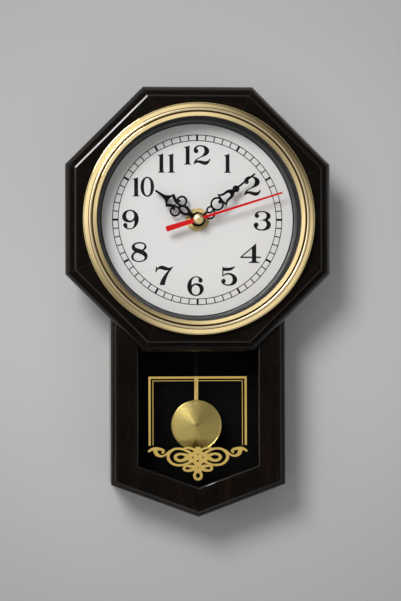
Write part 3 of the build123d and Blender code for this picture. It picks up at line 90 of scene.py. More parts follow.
DIAL_Z = middle_z("dial_face")
BOB_Z = middle_z("pendulum_bob")
DIAL_FRONT = depths("dial_face")[1]
GLASS_FACE = depths("window_glass")[1]
PLATE_BACK, PLATE_FACE = depths("octagon_front")
EIGHTH = math.pi / 4  # an octagon's side, as an angle
SMOOTH = math.radians(32)  # edges under this angle are smooth
MOULDING_SMOOTH = math.radians(12)  # the same on the octagon's moulding
MERGE = 2e-6  # points nearer than this are one


# Node trees and materials

def plain(operation):
    """A method that adds one Math node on a value and what it is given."""
    return lambda value, *others: value.math(operation, value, *others)


def reflected(operation):
    """The same for a number on the value's left."""
    return lambda value, other: value.math(operation, other, value)


class Value:
    """A node's output that takes part in plain arithmetic: each operation adds one Math node."""

    def __init__(self, maker, socket):
        self.maker = maker
        self.socket = socket

    def math(self, operation, *inputs):
        return self.maker.add("ShaderNodeMath", {"operation": operation}, dict(enumerate(inputs)))

    __add__, __radd__ = plain("ADD"), reflected("ADD")
    __sub__, __rsub__ = plain("SUBTRACT"), reflected("SUBTRACT")
    __mul__, __rmul__ = plain("MULTIPLY"), reflected("MULTIPLY")
    __truediv__, __rtruediv__ = plain("DIVIDE"), reflected("DIVIDE")
    __abs__ = plain("ABSOLUTE")
    sin, cos, root = plain("SINE"), plain("COSINE"), plain("SQRT")
    whole, larger, angle_over = plain("ROUND"), plain("MAXIMUM"), plain("ARCTAN2")

    def between(self, low, high):
        """0 below low, 1 above high, eased in between."""
        return self.maker.add("ShaderNodeMapRange", {"interpolation_type": "SMOOTHSTEP"},
                              {"Value": self, "From Min": low, "From Max": high})


class Tree:
    """A node tree, built node by node."""

    def __init__(self, tree):
        self.tree = tree

    def feed(self, socket, value):
        if isinstance(value, Value):
            self.tree.links.new(value.socket, socket)
        elif socket.type == "RGBA" and len(value) == 3:
            socket.default_value = (*value, 1.0)
        else:
            socket.default_value = value

    def add(self, kind, settings=None, inputs=None, out=0):
        """Any node: its settings are set first, then its sockets get their values or links."""
        node = self.tree.nodes.new(kind)
        for key, value in (settings or {}).items():
            setattr(node, key, value)
        for key, value in (inputs or {}).items():
            self.feed(node.inputs[key], value)
        return Value(self, node.outputs[out])

    def parts(self, vector):
        """A vector as three values."""
        node = self.add("ShaderNodeSeparateXYZ", None, {0: vector}).socket.node
        return [Value(self, node.outputs[k]) for k in range(3)]

    def vector(self, *parts):
        return self.add("ShaderNodeCombineXYZ", None, dict(enumerate(parts)))


class Finish(Tree):
    """One material round a Principled shader; its point is the surface point from a centre."""

    def __init__(self, name, fixed, centre_z=0.0):
        self.material = bpy.data.materials.new(name)
        self.material.use_nodes = True
        super().__init__(self.material.node_tree)
        self.shader = self.tree.nodes["Principled BSDF"]
        for socket, value in fixed.items():
            self.feed(self.shader.inputs[socket], value)
        spot = self.add("ShaderNodeTexCoord", out="Object")
        self.point = self.parts(self.add("ShaderNodeMapping", {"vector_type": "POINT"},
                                         {"Vector": spot, "Location": (0.0, 0.0, -centre_z)}))

    def radius(self):
        """Distance from the line through the centre, towards the viewer."""
        x, _, z = self.point
        return (x * x + z * z).root()

    def noise(self, x, y, z, detail=3.0, rough=0.55):
        return self.add("ShaderNodeTexNoise", None, {
            "Vector": self.vector(x, y, z), "Scale": 1.0, "Detail": detail, "Roughness": rough})

    def grain(self, x_scale, y_scale=None, z_scale=None, **kind):
        """Noise over the surface: one scale for all ways, or one for each."""
        scales = (x_scale, y_scale or x_scale, z_scale or x_scale)
        return self.noise(*(way * scale for way, scale in zip(self.point, scales)), **kind)

    def mix(self, share, one, two):
        return self.add("ShaderNodeMix", {"data_type": "RGBA"}, {0: share, 6: one, 7: two}, out=2)

    def tarnished(self, most, bright, deep):
        """Brass with clouds and specks of a deeper tone; those clouds come with it."""
        clouds = self.grain(45)
        specks = self.grain(900, detail=2.0).between(0.66, 0.8)
        return self.mix(clouds.between(0.3, 0.9) * most + specks * 0.12, bright, deep), clouds

    def surface(self, colour=None, rough=None, height=None, depth=0.0, strength=0.0, metal=None):
        """Links what varies over the surface to the shader."""
        bump = None
        if height is not None:
            bump = self.add("ShaderNodeBump", None,
                            {"Strength": strength, "Distance": depth, "Height": height})
        for socket, value in {"Base Color": colour, "Roughness": rough, "Normal": bump,
                              "Metallic": metal}.items():
            if value is not None:
                self.feed(self.shader.inputs[socket], value)
        return self.material

    def open_for(self, *rays, colour=(1.0, 1.0, 1.0)):
        """Lets rays of these kinds straight through, one Mix Shader for each."""
        shader = Value(self, self.shader.outputs[0])
        for ray in rays:
            through = self.add("ShaderNodeBsdfTransparent", None, {"Color": colour})
            shader = self.add("ShaderNodeMixShader", None, {0: ray, 1: shader, 2: through})
        self.feed(self.tree.nodes["Material Output"].inputs["Surface"], shader)
        return self.material


class Pattern(Tree):
    """A geometry tree with named inputs."""

    def __init__(self, name, **inputs):
        super().__init__(bpy.data.node_groups.new(name, "GeometryNodeTree"))
        sockets = self.tree.interface
        for label, kind in inputs.items():
            sockets.new_socket(label, in_out="INPUT", socket_type="NodeSocket" + kind)
        sockets.new_socket("Geometry", in_out="OUTPUT", socket_type="NodeSocketGeometry")
        outputs = self.tree.nodes.new("NodeGroupInput").outputs
        self.given = {label: Value(self, outputs[label]) for label in inputs}

    def close(self, points, instance, rotation):
        """Ends the tree in realized instances with their finish."""
        placed = self.add("GeometryNodeInstanceOnPoints", None,
                          {"Points": points, "Instance": instance, "Rotation": rotation})
        real = self.add("GeometryNodeRealizeInstances", None, {0: placed})
        finished = self.add("GeometryNodeSetMaterial", None,
                            {0: real, "Material": self.given["Finish"]})
        self.feed(self.tree.nodes.new("NodeGroupOutput").inputs[0], finished)

    def mesh(self, name, values, seats=None):
        """Runs the tree once and returns its plain mesh."""
        holder = bpy.data.objects.new(name, seats or bpy.data.meshes.new(name))
        modifier = holder.modifiers.new(name, "NODES")
        modifier.node_group = self.tree
        for item in self.tree.interface.items_tree:
            if item.in_out == "INPUT" and item.name in values:
                modifier[item.identifier] = values[item.name]
        return evaluated(holder)


def shade(colour, factor):
    """A colour made darker or lighter."""
    return tuple(min(1.0, c * factor) for c in colour)


# Meshes and pieces

def evaluated(holder):
    """What an object's modifiers or its curve make, as a plain mesh; the object is removed."""
    bpy.context.scene.collection.objects.link(holder)
    view = bpy.context.evaluated_depsgraph_get()
    made = bpy.data.meshes.new_from_object(holder.evaluated_get(view))
    bpy.data.objects.remove(holder)
    return made


def eased(mesh, angle=SMOOTH):
    """Makes the edges under an angle smooth."""
    mesh.shade_smooth()
    mesh.set_sharp_from_angle(angle=angle)
    return mesh


def mesh_of(name, bm, angle=SMOOTH, closed=True):
    """A mesh from a bmesh: a closed one has its doubles merged and its faces turned outwards."""
    if closed:
        bmesh.ops.remove_doubles(bm, verts=bm.verts, dist=MERGE)
        bmesh.ops.recalc_face_normals(bm, faces=bm.faces)
    mesh = bpy.data.meshes.new(name)
    bm.to_mesh(mesh)
    bm.free()
    return eased(mesh, angle)


def bmesh_of(*meshes):
    """Plain meshes as one bmesh."""
    bm = bmesh.new()
    for mesh in meshes:
        bm.from_mesh(mesh)
    return bm


def with_flat_faces(mesh):
    """Weighs normals by area, so that flat faces stay flat beside small rounds."""
    holder = bpy.data.objects.new(mesh.name, mesh)
    weigh = holder.modifiers.new("weigh", "WEIGHTED_NORMAL")
    weigh.mode = "FACE_AREA"
    weigh.weight = 100
    weigh.keep_sharp = True
    made = evaluated(holder)
    bpy.data.meshes.remove(mesh)
    return made


def joined(name, meshes):
    """Several plain meshes as one."""
    bm = bmesh_of(*meshes)
    for mesh in meshes:
        bpy.data.meshes.remove(mesh)
    return mesh_of(name, bm, closed=False)


def piece(name, mesh, body, slot, material, *stands_for):
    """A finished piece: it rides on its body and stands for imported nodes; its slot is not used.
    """
    made = bpy.data.objects.new(name, mesh)
    bpy.context.scene.collection.objects.link(made)
    mesh.materials.clear()
    mesh.materials.append(material)
    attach(made, body)
    if stands_for:
        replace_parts(made, *stands_for)


def dress(node, material):
    """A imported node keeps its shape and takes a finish."""
    slots = NODES[node].data.materials
    slots.clear()
    slots.append(material)


def smoothed(node, material):
    """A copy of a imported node, doubles merged and round faces smooth, stands for it."""
    name = node + "_smooth"
    mesh = with_flat_faces(mesh_of(name, bmesh_of(NODES[node].data)))
    piece(name, mesh, BODY_OF[node], SLOT_OF[node], material, node)


def skinned(rings, centre_z, closed):
    """Faces from each ring to the next: a ring is flat points and their depth, one point a tip."""
    bm = bmesh.new()
    loops = [[bm.verts.new((p.real, -depth, centre_z + p.imag)) for p in points]
             for points, depth in rings]
    for one, two in zip(loops, loops[1:] + (loops[:1] if closed else [])):
        around = max(len(one), len(two))
        for k in range(around):
            n = (k + 1) % around
            corners = (one[k % len(one)], one[n % len(one)], two[n % len(two)], two[k % len(two)])
            bm.faces.new(list(dict.fromkeys(corners)))
    return bm


def circle(centre, radius, around):
    """Points round a centre."""
    return [centre + cmath.rect(radius, math.tau * k / around) for k in range(around)]


def turned(name, outline, centre_z, around, closed=True):
    """A piece turned about the line through centre_z: points of radius and depth."""
    rings = [(circle(0j, radius, around) if radius > MERGE else [0j], depth)
             for radius, depth in outline]
    return mesh_of(name, skinned(rings, centre_z, closed))


def arc(start, via, end, steps):
    """Points on the arc from start through via to end, without the start."""
    a, b, c = (complex(*p) for p in (start, via, end))
    w = (c - a) / (b - a)
    hub = a + (b - a) * (w - abs(w)**2) / (2j * w.imag)
    mid, turn = (cmath.phase((p - hub) / (a - hub)) % math.tau for p in (b, c))
    if mid > turn:
        turn -= math.tau
    points = (hub + (a - hub) * cmath.rect(1, turn * k / steps) for k in range(1, steps + 1))
    return [(p.real, p.imag) for p in points]


def curved(points, closed, steps):
    """A smooth line through points; a point whose last number is 1 is a corner."""
    count = len(points)
    flat = [complex(*p[:2]) for p in points]
    corner = [len(p) > 2 and p[2] == 1 for p in points]
    line = []
    for i in range(count if closed else count - 1):
        j = (i + 1) % count
        a, b = flat[i], flat[j]
        before = flat[i - 1] if (closed or i) else a
        after = flat[(i + 2) % count] if (closed or i + 2 < count) else b
        slope_a = b - a if corner[i] else (b - before) / 2
        slope_b = b - a if corner[j] else (after - a) / 2
        parts = 1 if corner[i] and corner[j] else steps
        for t in (s / parts for s in range(parts)):
            line.append((2 * t**3 - 3 * t**2 + 1) * a + (t**3 - 2 * t**2 + t) * slope_a
                        + (3 * t**2 - 2 * t**3) * b + (t**3 - t**2) * slope_b)
    return line if closed else line + flat[-1:]


def facing(depth):
    """Takes a flat drawing (x right, y up, z towards the viewer) to its place on the clock."""
    return Matrix(((1, 0, 0, 0), (0, 0, -1, -depth), (0, 1, 0, DIAL_Z), (0, 0, 0, 1)))


def inked(name, loops, height, place):
    """A thin layer of ink in the shape of flat loops, holes included, lying on a face."""
    curve = bpy.data.curves.new(name, "CURVE")
    curve.dimensions = "2D"
    curve.fill_mode = "BOTH"
    curve.extrude = height / 2
    for loop in loops:
        spline = curve.splines.new("POLY")
        spline.points.add(len(loop) - 1)
        for point, spot in zip(spline.points, loop):
            point.co = (spot.real, spot.imag, 0.0, 1.0)
        spline.use_cyclic_u = True
    flat = evaluated(bpy.data.objects.new(name, curve))
    bpy.data.curves.remove(curve)
    flat.transform(place @ Matrix.Translation((0, 0, height / 2)))
    bm = bmesh_of(flat)
    bpy.data.meshes.remove(flat)
    return mesh_of(name, bm)


# Sizes and colours

def size(label, default, note):
    return FloatProperty(name=label, description=note, default=default, min=0.0, unit="LENGTH",
                         precision=5)


def tone(label, default, note):
    return FloatVectorProperty(name=label, description=note, default=default, subtype="COLOR",
                               min=0.0, max=1.0)


def amount(label, default, note):
    return FloatProperty(name=label, description=note, default=default, min=0.0)


def angle(label, degrees, note):
    return FloatProperty(name=label, description=note, default=math.radians(degrees),
                         subtype="ANGLE")


class CaseLook(bpy.types.PropertyGroup):
    """The stained wood of the case and its hardboard back."""
    stain: tone("Stain", (0.0026, 0.0020, 0.0013), "Darkest tone of the stained wood")
    warm: tone("Warm grain", (0.0112, 0.0050, 0.0024), "Tone that shows in the grain")
    gloss: amount("Lacquer roughness", 0.12, "Roughness of the lacquer")
    board: tone("Hardboard", (0.16, 0.085, 0.042), "Bare hardboard of the back and the dial board")
    ledge_round: size("Ledge round", 0.0045, "Height of the slope on the octagon's outer edge")
    ledge_width: size("Ledge width", 0.0064, "Width of the octagon's outer ledge")
    field_rise: size("Field rise", 0.0024, "Step from the ledge up to the field")
    field_bevel: size("Field bevel", 0.0011, "Bevel on that step")
    bevel_lean: amount("Bevel lean", 0.33, "Fall of that bevel for each unit of its width")
    ledge_lean: amount("Ledge lean", 0.72,
                       "Width of the outer edge's slope for each unit of its height")
    corner_round: size("Corner round", 0.0007, "Sanding on the octagon's corners")
    dial_hole: size("Dial hole", 0.0745, "Radius of the hole behind the bezel")
    recess_reach: amount("Recess reach", 0.6,
                         "Reach of a screw's cross recess, as a share of its head")
    recess_half: amount("Recess half width", 0.15,
                        "Half width of the recess, as a share of the head")
    recess_deep: size("Recess depth", 0.0007, "Depth of the recess")


class BrassLook(bpy.types.PropertyGroup):
    """The brass of the bezel, the centre and the pendulum."""
    bezel: tone("Bezel brass", (0.90, 0.71, 0.365), "Plated brass of the bezel")
    # Deep brass: tarnish clouds on the rod, washer and cap, and painted shade in the bezel's hollow
    # and along a thin line.
    groove: tone("Brass in grooves", (0.30, 0.20, 0.065), "Brass where dirt and lacquer settle")
    washer: tone("Washer brass", (0.55, 0.44, 0.20), "Plain brass under the hands")
    rod: tone("Rod brass", (0.86, 0.62, 0.20), "Drawn brass of the rod")
    bob: tone("Pendulum brass", (0.74, 0.58, 0.17), "Spun brass of the bob")
    spin_pitch: size("Spinning pitch", 0.00036, "From one spinning ring of the bob to the next")
    spin_depth: size("Spinning depth", 0.000008, "Half depth of those rings")
    spin_tip: amount("Bob's tip", 0.05, "How blunt the bob's cone is, as a share of its radius")
    bob_bead: size("Bob's bead", 0.0005, "Half width of the bead round the bob")
    bob_rim: size("Bob's rim", 0.0012, "Thickness of the bob's rim under that bead")
    bob_ease: size("Bob's edge", 0.0004, "Bevel on the rim's rear edge")
    radius: size("Bezel radius", 0.082, "Outer radius of the bezel")
    band: size("Bezel band", 0.00985, "Width of the bezel's band")
    rise: size("Bezel rise", 0.0078, "How far the bezel stands on the case")
    lens_lap: size("Lens lap", 0.0034, "How far the lens lies under the bezel")
    lens_thick: size("Lens thickness", 0.002, "Depth of the lens seat")


class DialLook(bpy.types.PropertyGroup):
    """The printed card and its hands."""
    card: tone("Card", (0.70, 0.695, 0.687), "White of the dial card")
    ink: tone("Ink", (0.0025, 0.0025, 0.0025), "Printing ink")
    numeral: size("Numeral height", 0.01387, "Height of the hour numerals")
    radius: size("Numeral radius", 0.0464, "Circle on which the numerals stand")
    outer: size("Minute ring outside", 0.06045, "Radius of the outer minute line")
    inner: size("Minute ring inside", 0.05640, "Radius of the inner minute line")
    line: size("Minute ring line", 0.00058, "Width of the two minute lines")
    minute: size("Minute mark", 0.00076, "Width of a minute mark")
    hour: size("Five-minute mark", 0.00155, "Width of a five-minute mark")
    height: size("Ink height", 0.00004, "Thickness of the ink")
    black: tone("Hand black", (0.0035, 0.0035, 0.0035), "Lacquer of the hour and minute hands")
    red: tone("Hand red", (0.58, 0.010, 0.012), "Lacquer of the second hand")


class PrintLook(bpy.types.PropertyGroup):
    """The gold border and flourish on the window."""
    gold: tone("Gold", (0.70, 0.49, 0.13), "Gold ink")
    unit: size("Drawing unit", 0.0007124, "Size of one unit of the flourish's drawing")
    half: size("Thick line out", 0.0343, "Middle of the thick border line from the window's middle")
    half_thin: size("Thin line out", 0.0319,
                    "Middle of the thin border line from the window's middle")
    thick: size("Thick line", 0.0015, "Width of the thick border line")
    thin: size("Thin line", 0.00048, "Width of the thin border line")
    height: size("Ink height", 0.00005, "Thickness of the ink")


class StageLook(bpy.types.PropertyGroup):
    """Wall, lamps and camera."""
    wall: tone("Wall", (0.485, 0.485, 0.485), "Plain wall")
    # Painted light falloff: the wall's tone away from the clock.
    wall_far: amount("Wall farther out", 0.73, "Tone of the wall away from the clock, as a share")
    wall_from: size("Wall even to here", 0.06, "Radius within which the wall is even")
    wall_to: size("Wall darker from here", 0.30, "Radius at which the wall is at its darkest")
    key: amount("Key lamp", 35.5, "Power of the soft lamp above on the left, in watts")
    room: amount("Room light", 0.92, "Light from the pale part of the room")
    near: amount("Near light", 0.55, "Share of that light which the part nearer the camera gives")
    near_lean: amount("Near lean", 0.95, "How much more of it comes from the left there")
    near_least: amount("Near least", 0.33, "Smallest share there")
    edge: amount("Side light", 0.22, "Light from the room's sides, along the wall")
    dim: amount("Front light", 0.02, "Light from behind the camera")
    lean: amount("Light lean", 0.15, "How much more light comes from the left farther out")
    cross: amount("Light across", 1.9,
                  "How much darker the room is to the upper right and the lower left")
    cross_least: amount("Light along", 0.08,
                        "How much paler it is to the upper left and the lower right")
    dark_from: angle("Dark to here", 12.0, "Half angle of the dark part behind the camera")
    dark_to: angle("Pale from here", 16.0, "Half angle at which the room is pale")
    near_from: angle("Near to here", 40.0, "Half angle of the nearer part")
    near_to: angle("Farther from here", 48.0, "Half angle at which the farther part begins")
    pale_from: angle("Pale to here", 66.0, "Half angle to which the room is pale")
    pale_to: angle("Sides from here", 76.0, "Half angle at which the sides begin")
    backdrop: amount("Backdrop", 0.45,
                     "Tone of the room where the picture shows it beyond the wall")
    rear: amount("Rear lamp", 26.0, "Power of the lamp behind the wall, in watts")
    distance: size("Camera distance", 1.6, "From the camera to the clock")
    turn: angle("Camera turn", -4.5, "Round the clock, to the left")
    lift: angle("Camera lift", -1.2, "Above the clock's middle")
    roll: angle("Camera roll", -0.188, "Round the line of sight")
    lens: FloatProperty(name="Lens", default=135.2,
                        description="Focal length in mm on a 36 mm long side")
    aim: FloatVectorProperty(name="Aim", default=(0.0016, -0.040, DIAL_Z - 0.05762),
                             subtype="TRANSLATION", description="Point in the picture's middle")


# Finishes

BLACK_PAINT = (0.0016, 0.0016, 0.0015)
PAINT_EDGE = (0.0032, 0.0036)  # depths between which the back panel's paint begins
# Pale brass for the painted highlight along the bezel's bead.
BEAD_HIGHLIGHT_BRASS = (0.99, 0.95, 0.84)
TURNING = 2600  # turning rings of brass, per metre
SPINNING = 5200  # fine spinning rings of the bob, per metre
ROD_PAINTED_SHADE = (0.002, 0.0018, 0.0015)
ROD_SHADE_EDGE = (0.0342, 0.0354)  # heights above the bob between which the rod's painted shade begins
RING_FOOT_SHADE = (0.0007, 0.0009)  # how far past its foot the sight ring's painted shade fades
RING_WALL_SHADE = (0.0022, 0.0026)  # how far above the plate's back the painted shade begins again
WIRE_PITCH = 0.00028
WIRE_DARK, WIRE_BRIGHT = (0.42, 0.13, 0.05), (0.70, 0.30, 0.13)
MASK_GREEN, TRACK_GREEN = (0.012, 0.075, 0.03), (0.03, 0.16, 0.06)
CHARCOAL, COPPER = (0.018, 0.019, 0.021), (0.46, 0.19, 0.075)
SCUFFED, BARE_STEEL = (0.16, 0.15, 0.14), (0.55, 0.55, 0.54)
COPPER_BAND = (0.0166, 0.0163)  # from the cell's positive end
CELL_ENDS = (0.0021, 0.0019)  # bare steel at both of its ends


def wood_finish(name, lay, look):
    """Dark stained, lacquered wood; lay says how the grain runs."""
    f = Finish(name, {"Coat Weight": 0.1, "Coat Roughness": 0.08, "IOR": 1.44}, DIAL_Z)
    x, y, z = f.point
    along, across = (z, x) if lay == "upright" else (x, z)
    board = seam = 0.0
    if lay == "octagon":
        board = (x.angle_over(z) / EIGHTH).whole()
        turn = board * EIGHTH
        along = x * turn.cos() - z * turn.sin()
        across = x * turn.sin() + z * turn.cos()
        seam = 1 - (across * math.tan(EIGHTH / 2) - abs(along)).between(0.00003, 0.00022)
        along = along + board * 0.37
    across = across + f.noise(across * 14, y * 14, along * 6, 2.0) * 0.012
    broad = f.noise(across * 130 + board * 3.1, y * 60, along * 5, 4.0, 0.6)
    fibre = f.noise(across * 1100, y * 500, along * 24, 3.0, 0.6)
    pores = f.noise(across * 2600, y * 1500, along * 75, 1.0).between(0.60, 0.72)
    warmth = (broad.between(0.42, 0.78) * 0.75 + fibre * 0.35 - 0.12).larger(0.0)
    colour = f.mix(warmth, look.stain, look.warm)
    colour = f.mix(pores * 0.6, colour, shade(look.stain, 0.4))
    colour = f.mix(seam * 0.8, colour, shade(look.stain, 0.25))
    rough = look.gloss + fibre * 0.06 + f.grain(38).between(0.35, 0.8) * 0.06
    return f.surface(colour, rough, fibre * 0.35 - pores * 0.6 - seam * 1.2, 0.00006, 0.35)


def board_finish(name, look, painted):
    """Pressed hardboard: smooth brown face with fibres; its inner face may be painted black."""
    f = Finish(name, {"Specular IOR Level": 0.05})
    x, y, z = f.point
    flecks = f.grain(420, detail=4.0, rough=0.7)
    clouds = f.grain(26)
    hairs = f.noise(x * 1500 + clouds * 8, y * 300, z * 180, 2.0).between(0.58, 0.75)
    colour = f.mix(flecks, shade(look.board, 0.62), shade(look.board, 1.3))
    colour = f.mix(clouds * 0.5, colour, shade(look.board, 0.8))
    colour = f.mix(hairs * 0.4, colour, shade(look.board, 1.7))
    if painted:
        colour = f.mix((y * -1.0).between(*PAINT_EDGE), colour, BLACK_PAINT)
    return f.surface(colour, 0.55 + flecks * 0.25, flecks + hairs * 0.4, 0.00008, 0.5)


def brass_finish(name, bright, deep, rough, depth=0.00001):
    """Turned brass: fine rings, a little deeper in tone where it was not polished."""
    f = Finish(name, {"Metallic": 1.0}, DIAL_Z)
    rings = f.noise(f.radius() * TURNING, f.point[1] * TURNING * 0.4, 0.0, 3.0, 0.7)
    colour, clouds = f.tarnished(0.28, bright, deep)
    return f.surface(colour, rough + rings * 0.04 + clouds * 0.03, rings, depth, 0.6)


def bezel_finish(name, look):
    """Polished and lacquered brass, with painted shade in its hollow and along a thin line on its
    band, and a painted highlight along its bead.
    """
    f = Finish(name, {"Metallic": 1.0}, DIAL_Z)
    share = (look.radius - f.radius()) / look.band
    hollow_painted_shade = 1 - abs(share - 0.665).between(0.045, 0.075)
    line = 1 - abs(share - 0.39).between(0.012, 0.03)
    bead_painted_highlight = 1 - abs(share - 0.51).between(0.06, 0.11)
    colour, clouds = f.tarnished(0.3, look.bezel, shade(look.bezel, 0.72))
    # Painted highlight: paler brass along the bead.
    colour = f.mix(bead_painted_highlight * 0.3, colour, BEAD_HIGHLIGHT_BRASS)
    # Painted shade: deep brass in the bezel's hollow and along a thin line on its outer band.
    colour = f.mix((hollow_painted_shade * 0.9).larger(line * 0.35), colour, look.groove)
    rough = 0.07 + clouds * 0.03 + hollow_painted_shade * 0.15 + bead_painted_highlight * 0.2
    return f.surface(colour, rough, clouds, 0.000004, 0.3)


def spun_finish(name, look):
    """Spun brass of the bob: coarse rings that draw the light out into a fan."""
    f = Finish(name, {"Metallic": 1.0, "Coat Weight": 0.6, "Coat Roughness": 0.24}, BOB_Z)
    x, _, z = f.point
    fine = f.noise(f.radius() * SPINNING, 0.0, 0.0, 2.0, 0.7)
    patchy = f.noise(f.radius() * 60, x.angle_over(z) * 1.2, 0.0, 2.0)
    colour = f.mix(patchy.between(0.3, 0.8) * 0.35, look.bob, shade(look.bob, 0.62))
    return f.surface(colour, 0.13 + fine * 0.07, fine, 0.000004, 0.5)


def rod_finish(name, look):
    """Drawn brass, with painted shade over its upper part: black where the octagon's shadow falls.
    """
    f = Finish(name, {"Specular IOR Level": 0.1}, BOB_Z)
    drawn = f.grain(2600, 2600, 60, detail=2.0, rough=0.6)
    bare = 1 - f.point[2].between(*ROD_SHADE_EDGE)
    colour = f.mix(f.grain(70).between(0.3, 0.9) * 0.3, look.rod, look.groove)
    # Painted shade: the rod is black above these heights, where the octagon's shadow falls.
    colour = f.mix(bare, ROD_PAINTED_SHADE, colour)
    return f.surface(colour, 0.34 + drawn * 0.12, drawn, 0.000006, 0.4, bare)


def ring_finish(name, base, foot):
    """Moulded sight ring: a matt dish, with painted shade (near black) on its foot and on the wall
    above the dish.
    """
    f = Finish(name, {"Specular IOR Level": 0.5}, DIAL_Z)
    foot_painted_shade = 1 - f.radius().between(*(foot + past for past in RING_FOOT_SHADE))
    wall_painted_shade = (f.point[1] * -1.0).between(*(PLATE_BACK + above for above in RING_WALL_SHADE))
    grit = f.grain(1400, detail=2.0)
    # Painted shade: foot and wall take a near-black copy of the ring's own colour.
    black = foot_painted_shade.larger(wall_painted_shade)
    colour = f.mix(black, f.mix(grit, base, shade(base, 0.8)), shade(base, 0.02))
    return f.surface(colour, 0.44 + grit * 0.12 + black * 0.4, grit, 0.00002, 0.3)


def lacquer_finish(name, base, rough):
    """Sprayed lacquer with a slight orange peel."""
    f = Finish(name, {"Specular IOR Level": 0.5})
    peel = f.grain(700, detail=2.0)
    colour = f.mix(f.grain(240).between(0.62, 0.78) * 0.35, base, shade(base, 1.8))
    return f.surface(colour, rough + peel * 0.12, peel, 0.00001, 0.3)


def plastic_finish(name, base, rough, grain=1400):
    """Moulded plastic with a fine spark-eroded grain."""
    f = Finish(name, {"IOR": 1.5})
    grit = f.grain(grain, detail=2.0, rough=0.6)
    colour = f.mix(f.grain(60, 60, 160) * 0.4, base, shade(base, 1.45))
    return f.surface(colour, rough + grit * 0.16, grit, 0.00005, 0.45)


def steel_finish(name, base, rough):
    """Zinc plate: fine drawn lines and faint clouds."""
    f = Finish(name, {"Metallic": 1.0})
    drawn = f.grain(160, 160, 2600, detail=2.0, rough=0.6)
    colour = f.mix(f.grain(150).between(0.3, 0.8), base, shade(base, 0.72))
    return f.surface(colour, rough + drawn * 0.14, drawn, 0.00002, 0.4)


def card_finish(name, base):
    """Smooth coated card with a faint fibre."""
    f = Finish(name, {"Specular IOR Level": 0.3}, DIAL_Z)
    fibre = f.grain(2200, 2200, 1400, rough=0.6)
    share = f.grain(18, detail=2.0) * 0.35 + fibre * 0.25
    return f.surface(f.mix(share, base, shade(base, 0.93)), 0.5 + fibre * 0.2, fibre, 0.00001, 0.3)


def ink_finish(name, base):
    """Printing ink: dense, with the card's fibre just showing."""
    f = Finish(name, {"Specular IOR Level": 0.12})
    fibre = f.grain(2400, detail=2.0)
    return f.surface(f.mix(fibre, base, shade(base, 2.0)), 0.5 + fibre * 0.15, fibre, 0.00001, 0.3)


def gold_finish(name, gold):
    """Gold ink with metal flake."""
    f = Finish(name, {"Metallic": 0.55})
    flake = f.grain(5200, detail=1.0)
    colour = f.mix(flake.between(0.4, 0.7), shade(gold, 0.8), shade(gold, 1.15))
    colour = f.mix(f.grain(110).between(0.35, 0.8) * 0.4, colour, shade(gold, 0.7))
    return f.surface(colour, 0.36 + flake * 0.2, flake, 0.00001, 0.3)


def clear_finish(name):
    """Clear sheet that lets the lamps through, with the faintest smear on it."""
    f = Finish(name, {"Base Color": (0.985, 0.985, 0.985), "Transmission Weight": 1.0, "IOR": 1.1})
    f.surface(rough=f.grain(22, 22, 60).between(0.55, 0.9) * 0.03)
    return f.open_for(f.add("ShaderNodeLightPath", out="Is Diffuse Ray"),
                      f.add("ShaderNodeLightPath", out="Is Shadow Ray"), colour=(0.97, 0.97, 0.97))


def wire_finish(name):
    """Enamelled copper wire laid turn by turn along the coil."""
    f = Finish(name, {"Metallic": 0.9})
    turns = (f.point[0] * 2 * math.pi / WIRE_PITCH).sin()
    uneven = f.grain(300, detail=2.0)
    colour = f.mix(turns * 0.3 + uneven * 0.5, WIRE_DARK, WIRE_BRIGHT)
    return f.surface(colour, 0.3 + uneven * 0.15, turns, 0.00006, 0.8)


def circuit_finish(name):
    """Coated circuit board: green mask over darker tracks."""
    f = Finish(name, {"IOR": 1.5})
    x, _, z = f.point
    weave = (x * 9000).sin() * (z * 9000).sin()
    tracks = f.noise((x * 700).whole(), 0.0, (z * 420).whole(), 0.0).between(0.5, 0.52)
    colour = f.mix(tracks * 0.6, MASK_GREEN, TRACK_GREEN)
    return f.surface(colour, 0.32 + tracks * 0.1, weave * 0.1 + tracks, 0.00003, 0.4)


def jacket_finish(name):
    """The cell's shrink jacket: charcoal with a copper band at its positive end."""
    f = Finish(name, {"Coat Weight": 0.3, "IOR": 1.5})
    low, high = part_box("battery")
    x = f.point[0]
    band = x.between(*(high.x - inset for inset in COPPER_BAND))
    reach = (high.x - low.x) / 2
    ends = abs(x - (low.x + high.x) / 2).between(*(reach - inset for inset in CELL_ENDS))
    scuff = f.grain(260, 700, 700)
    colour = f.mix(band, CHARCOAL, COPPER)
    colour = f.mix(scuff.between(0.6, 0.8) * 0.3, colour, SCUFFED)
    colour = f.mix(ends, colour, BARE_STEEL)
    metal = (band * 0.7).larger(ends)
    return f.surface(colour, 0.28 + scuff * 0.15, scuff, 0.00003, 0.3, metal)


def wall_finish(name, look):
    """Plain wall, painted darker away from the clock as painted light falloff, and open from
    behind, so that the clock's back shows.
    """
    f = Finish(name, {"Roughness": 0.9, "Specular IOR Level": 0.1}, look.aim[2])
    out = f.radius().between(look.wall_from, look.wall_to)
    # Painted light falloff: darker with distance from the clock.
    colour = f.mix(out, look.wall, shade(look.wall, look.wall_far))
    colour = f.mix(f.grain(3, detail=2.0) * 0.02, colour, (0.0, 0.0, 0.0))
    f.surface(colour, None, f.grain(160), 0.0002, 0.15)
    return f.open_for(f.add("ShaderNodeNewGeometry", out="Backfacing"),
                      f.add("ShaderNodeLightPath", out="Is Shadow Ray"))


# Drawings and outlines. Numerals stand on a grid, foot at 0 and top near 19.5; a third number of 1
# is a corner.

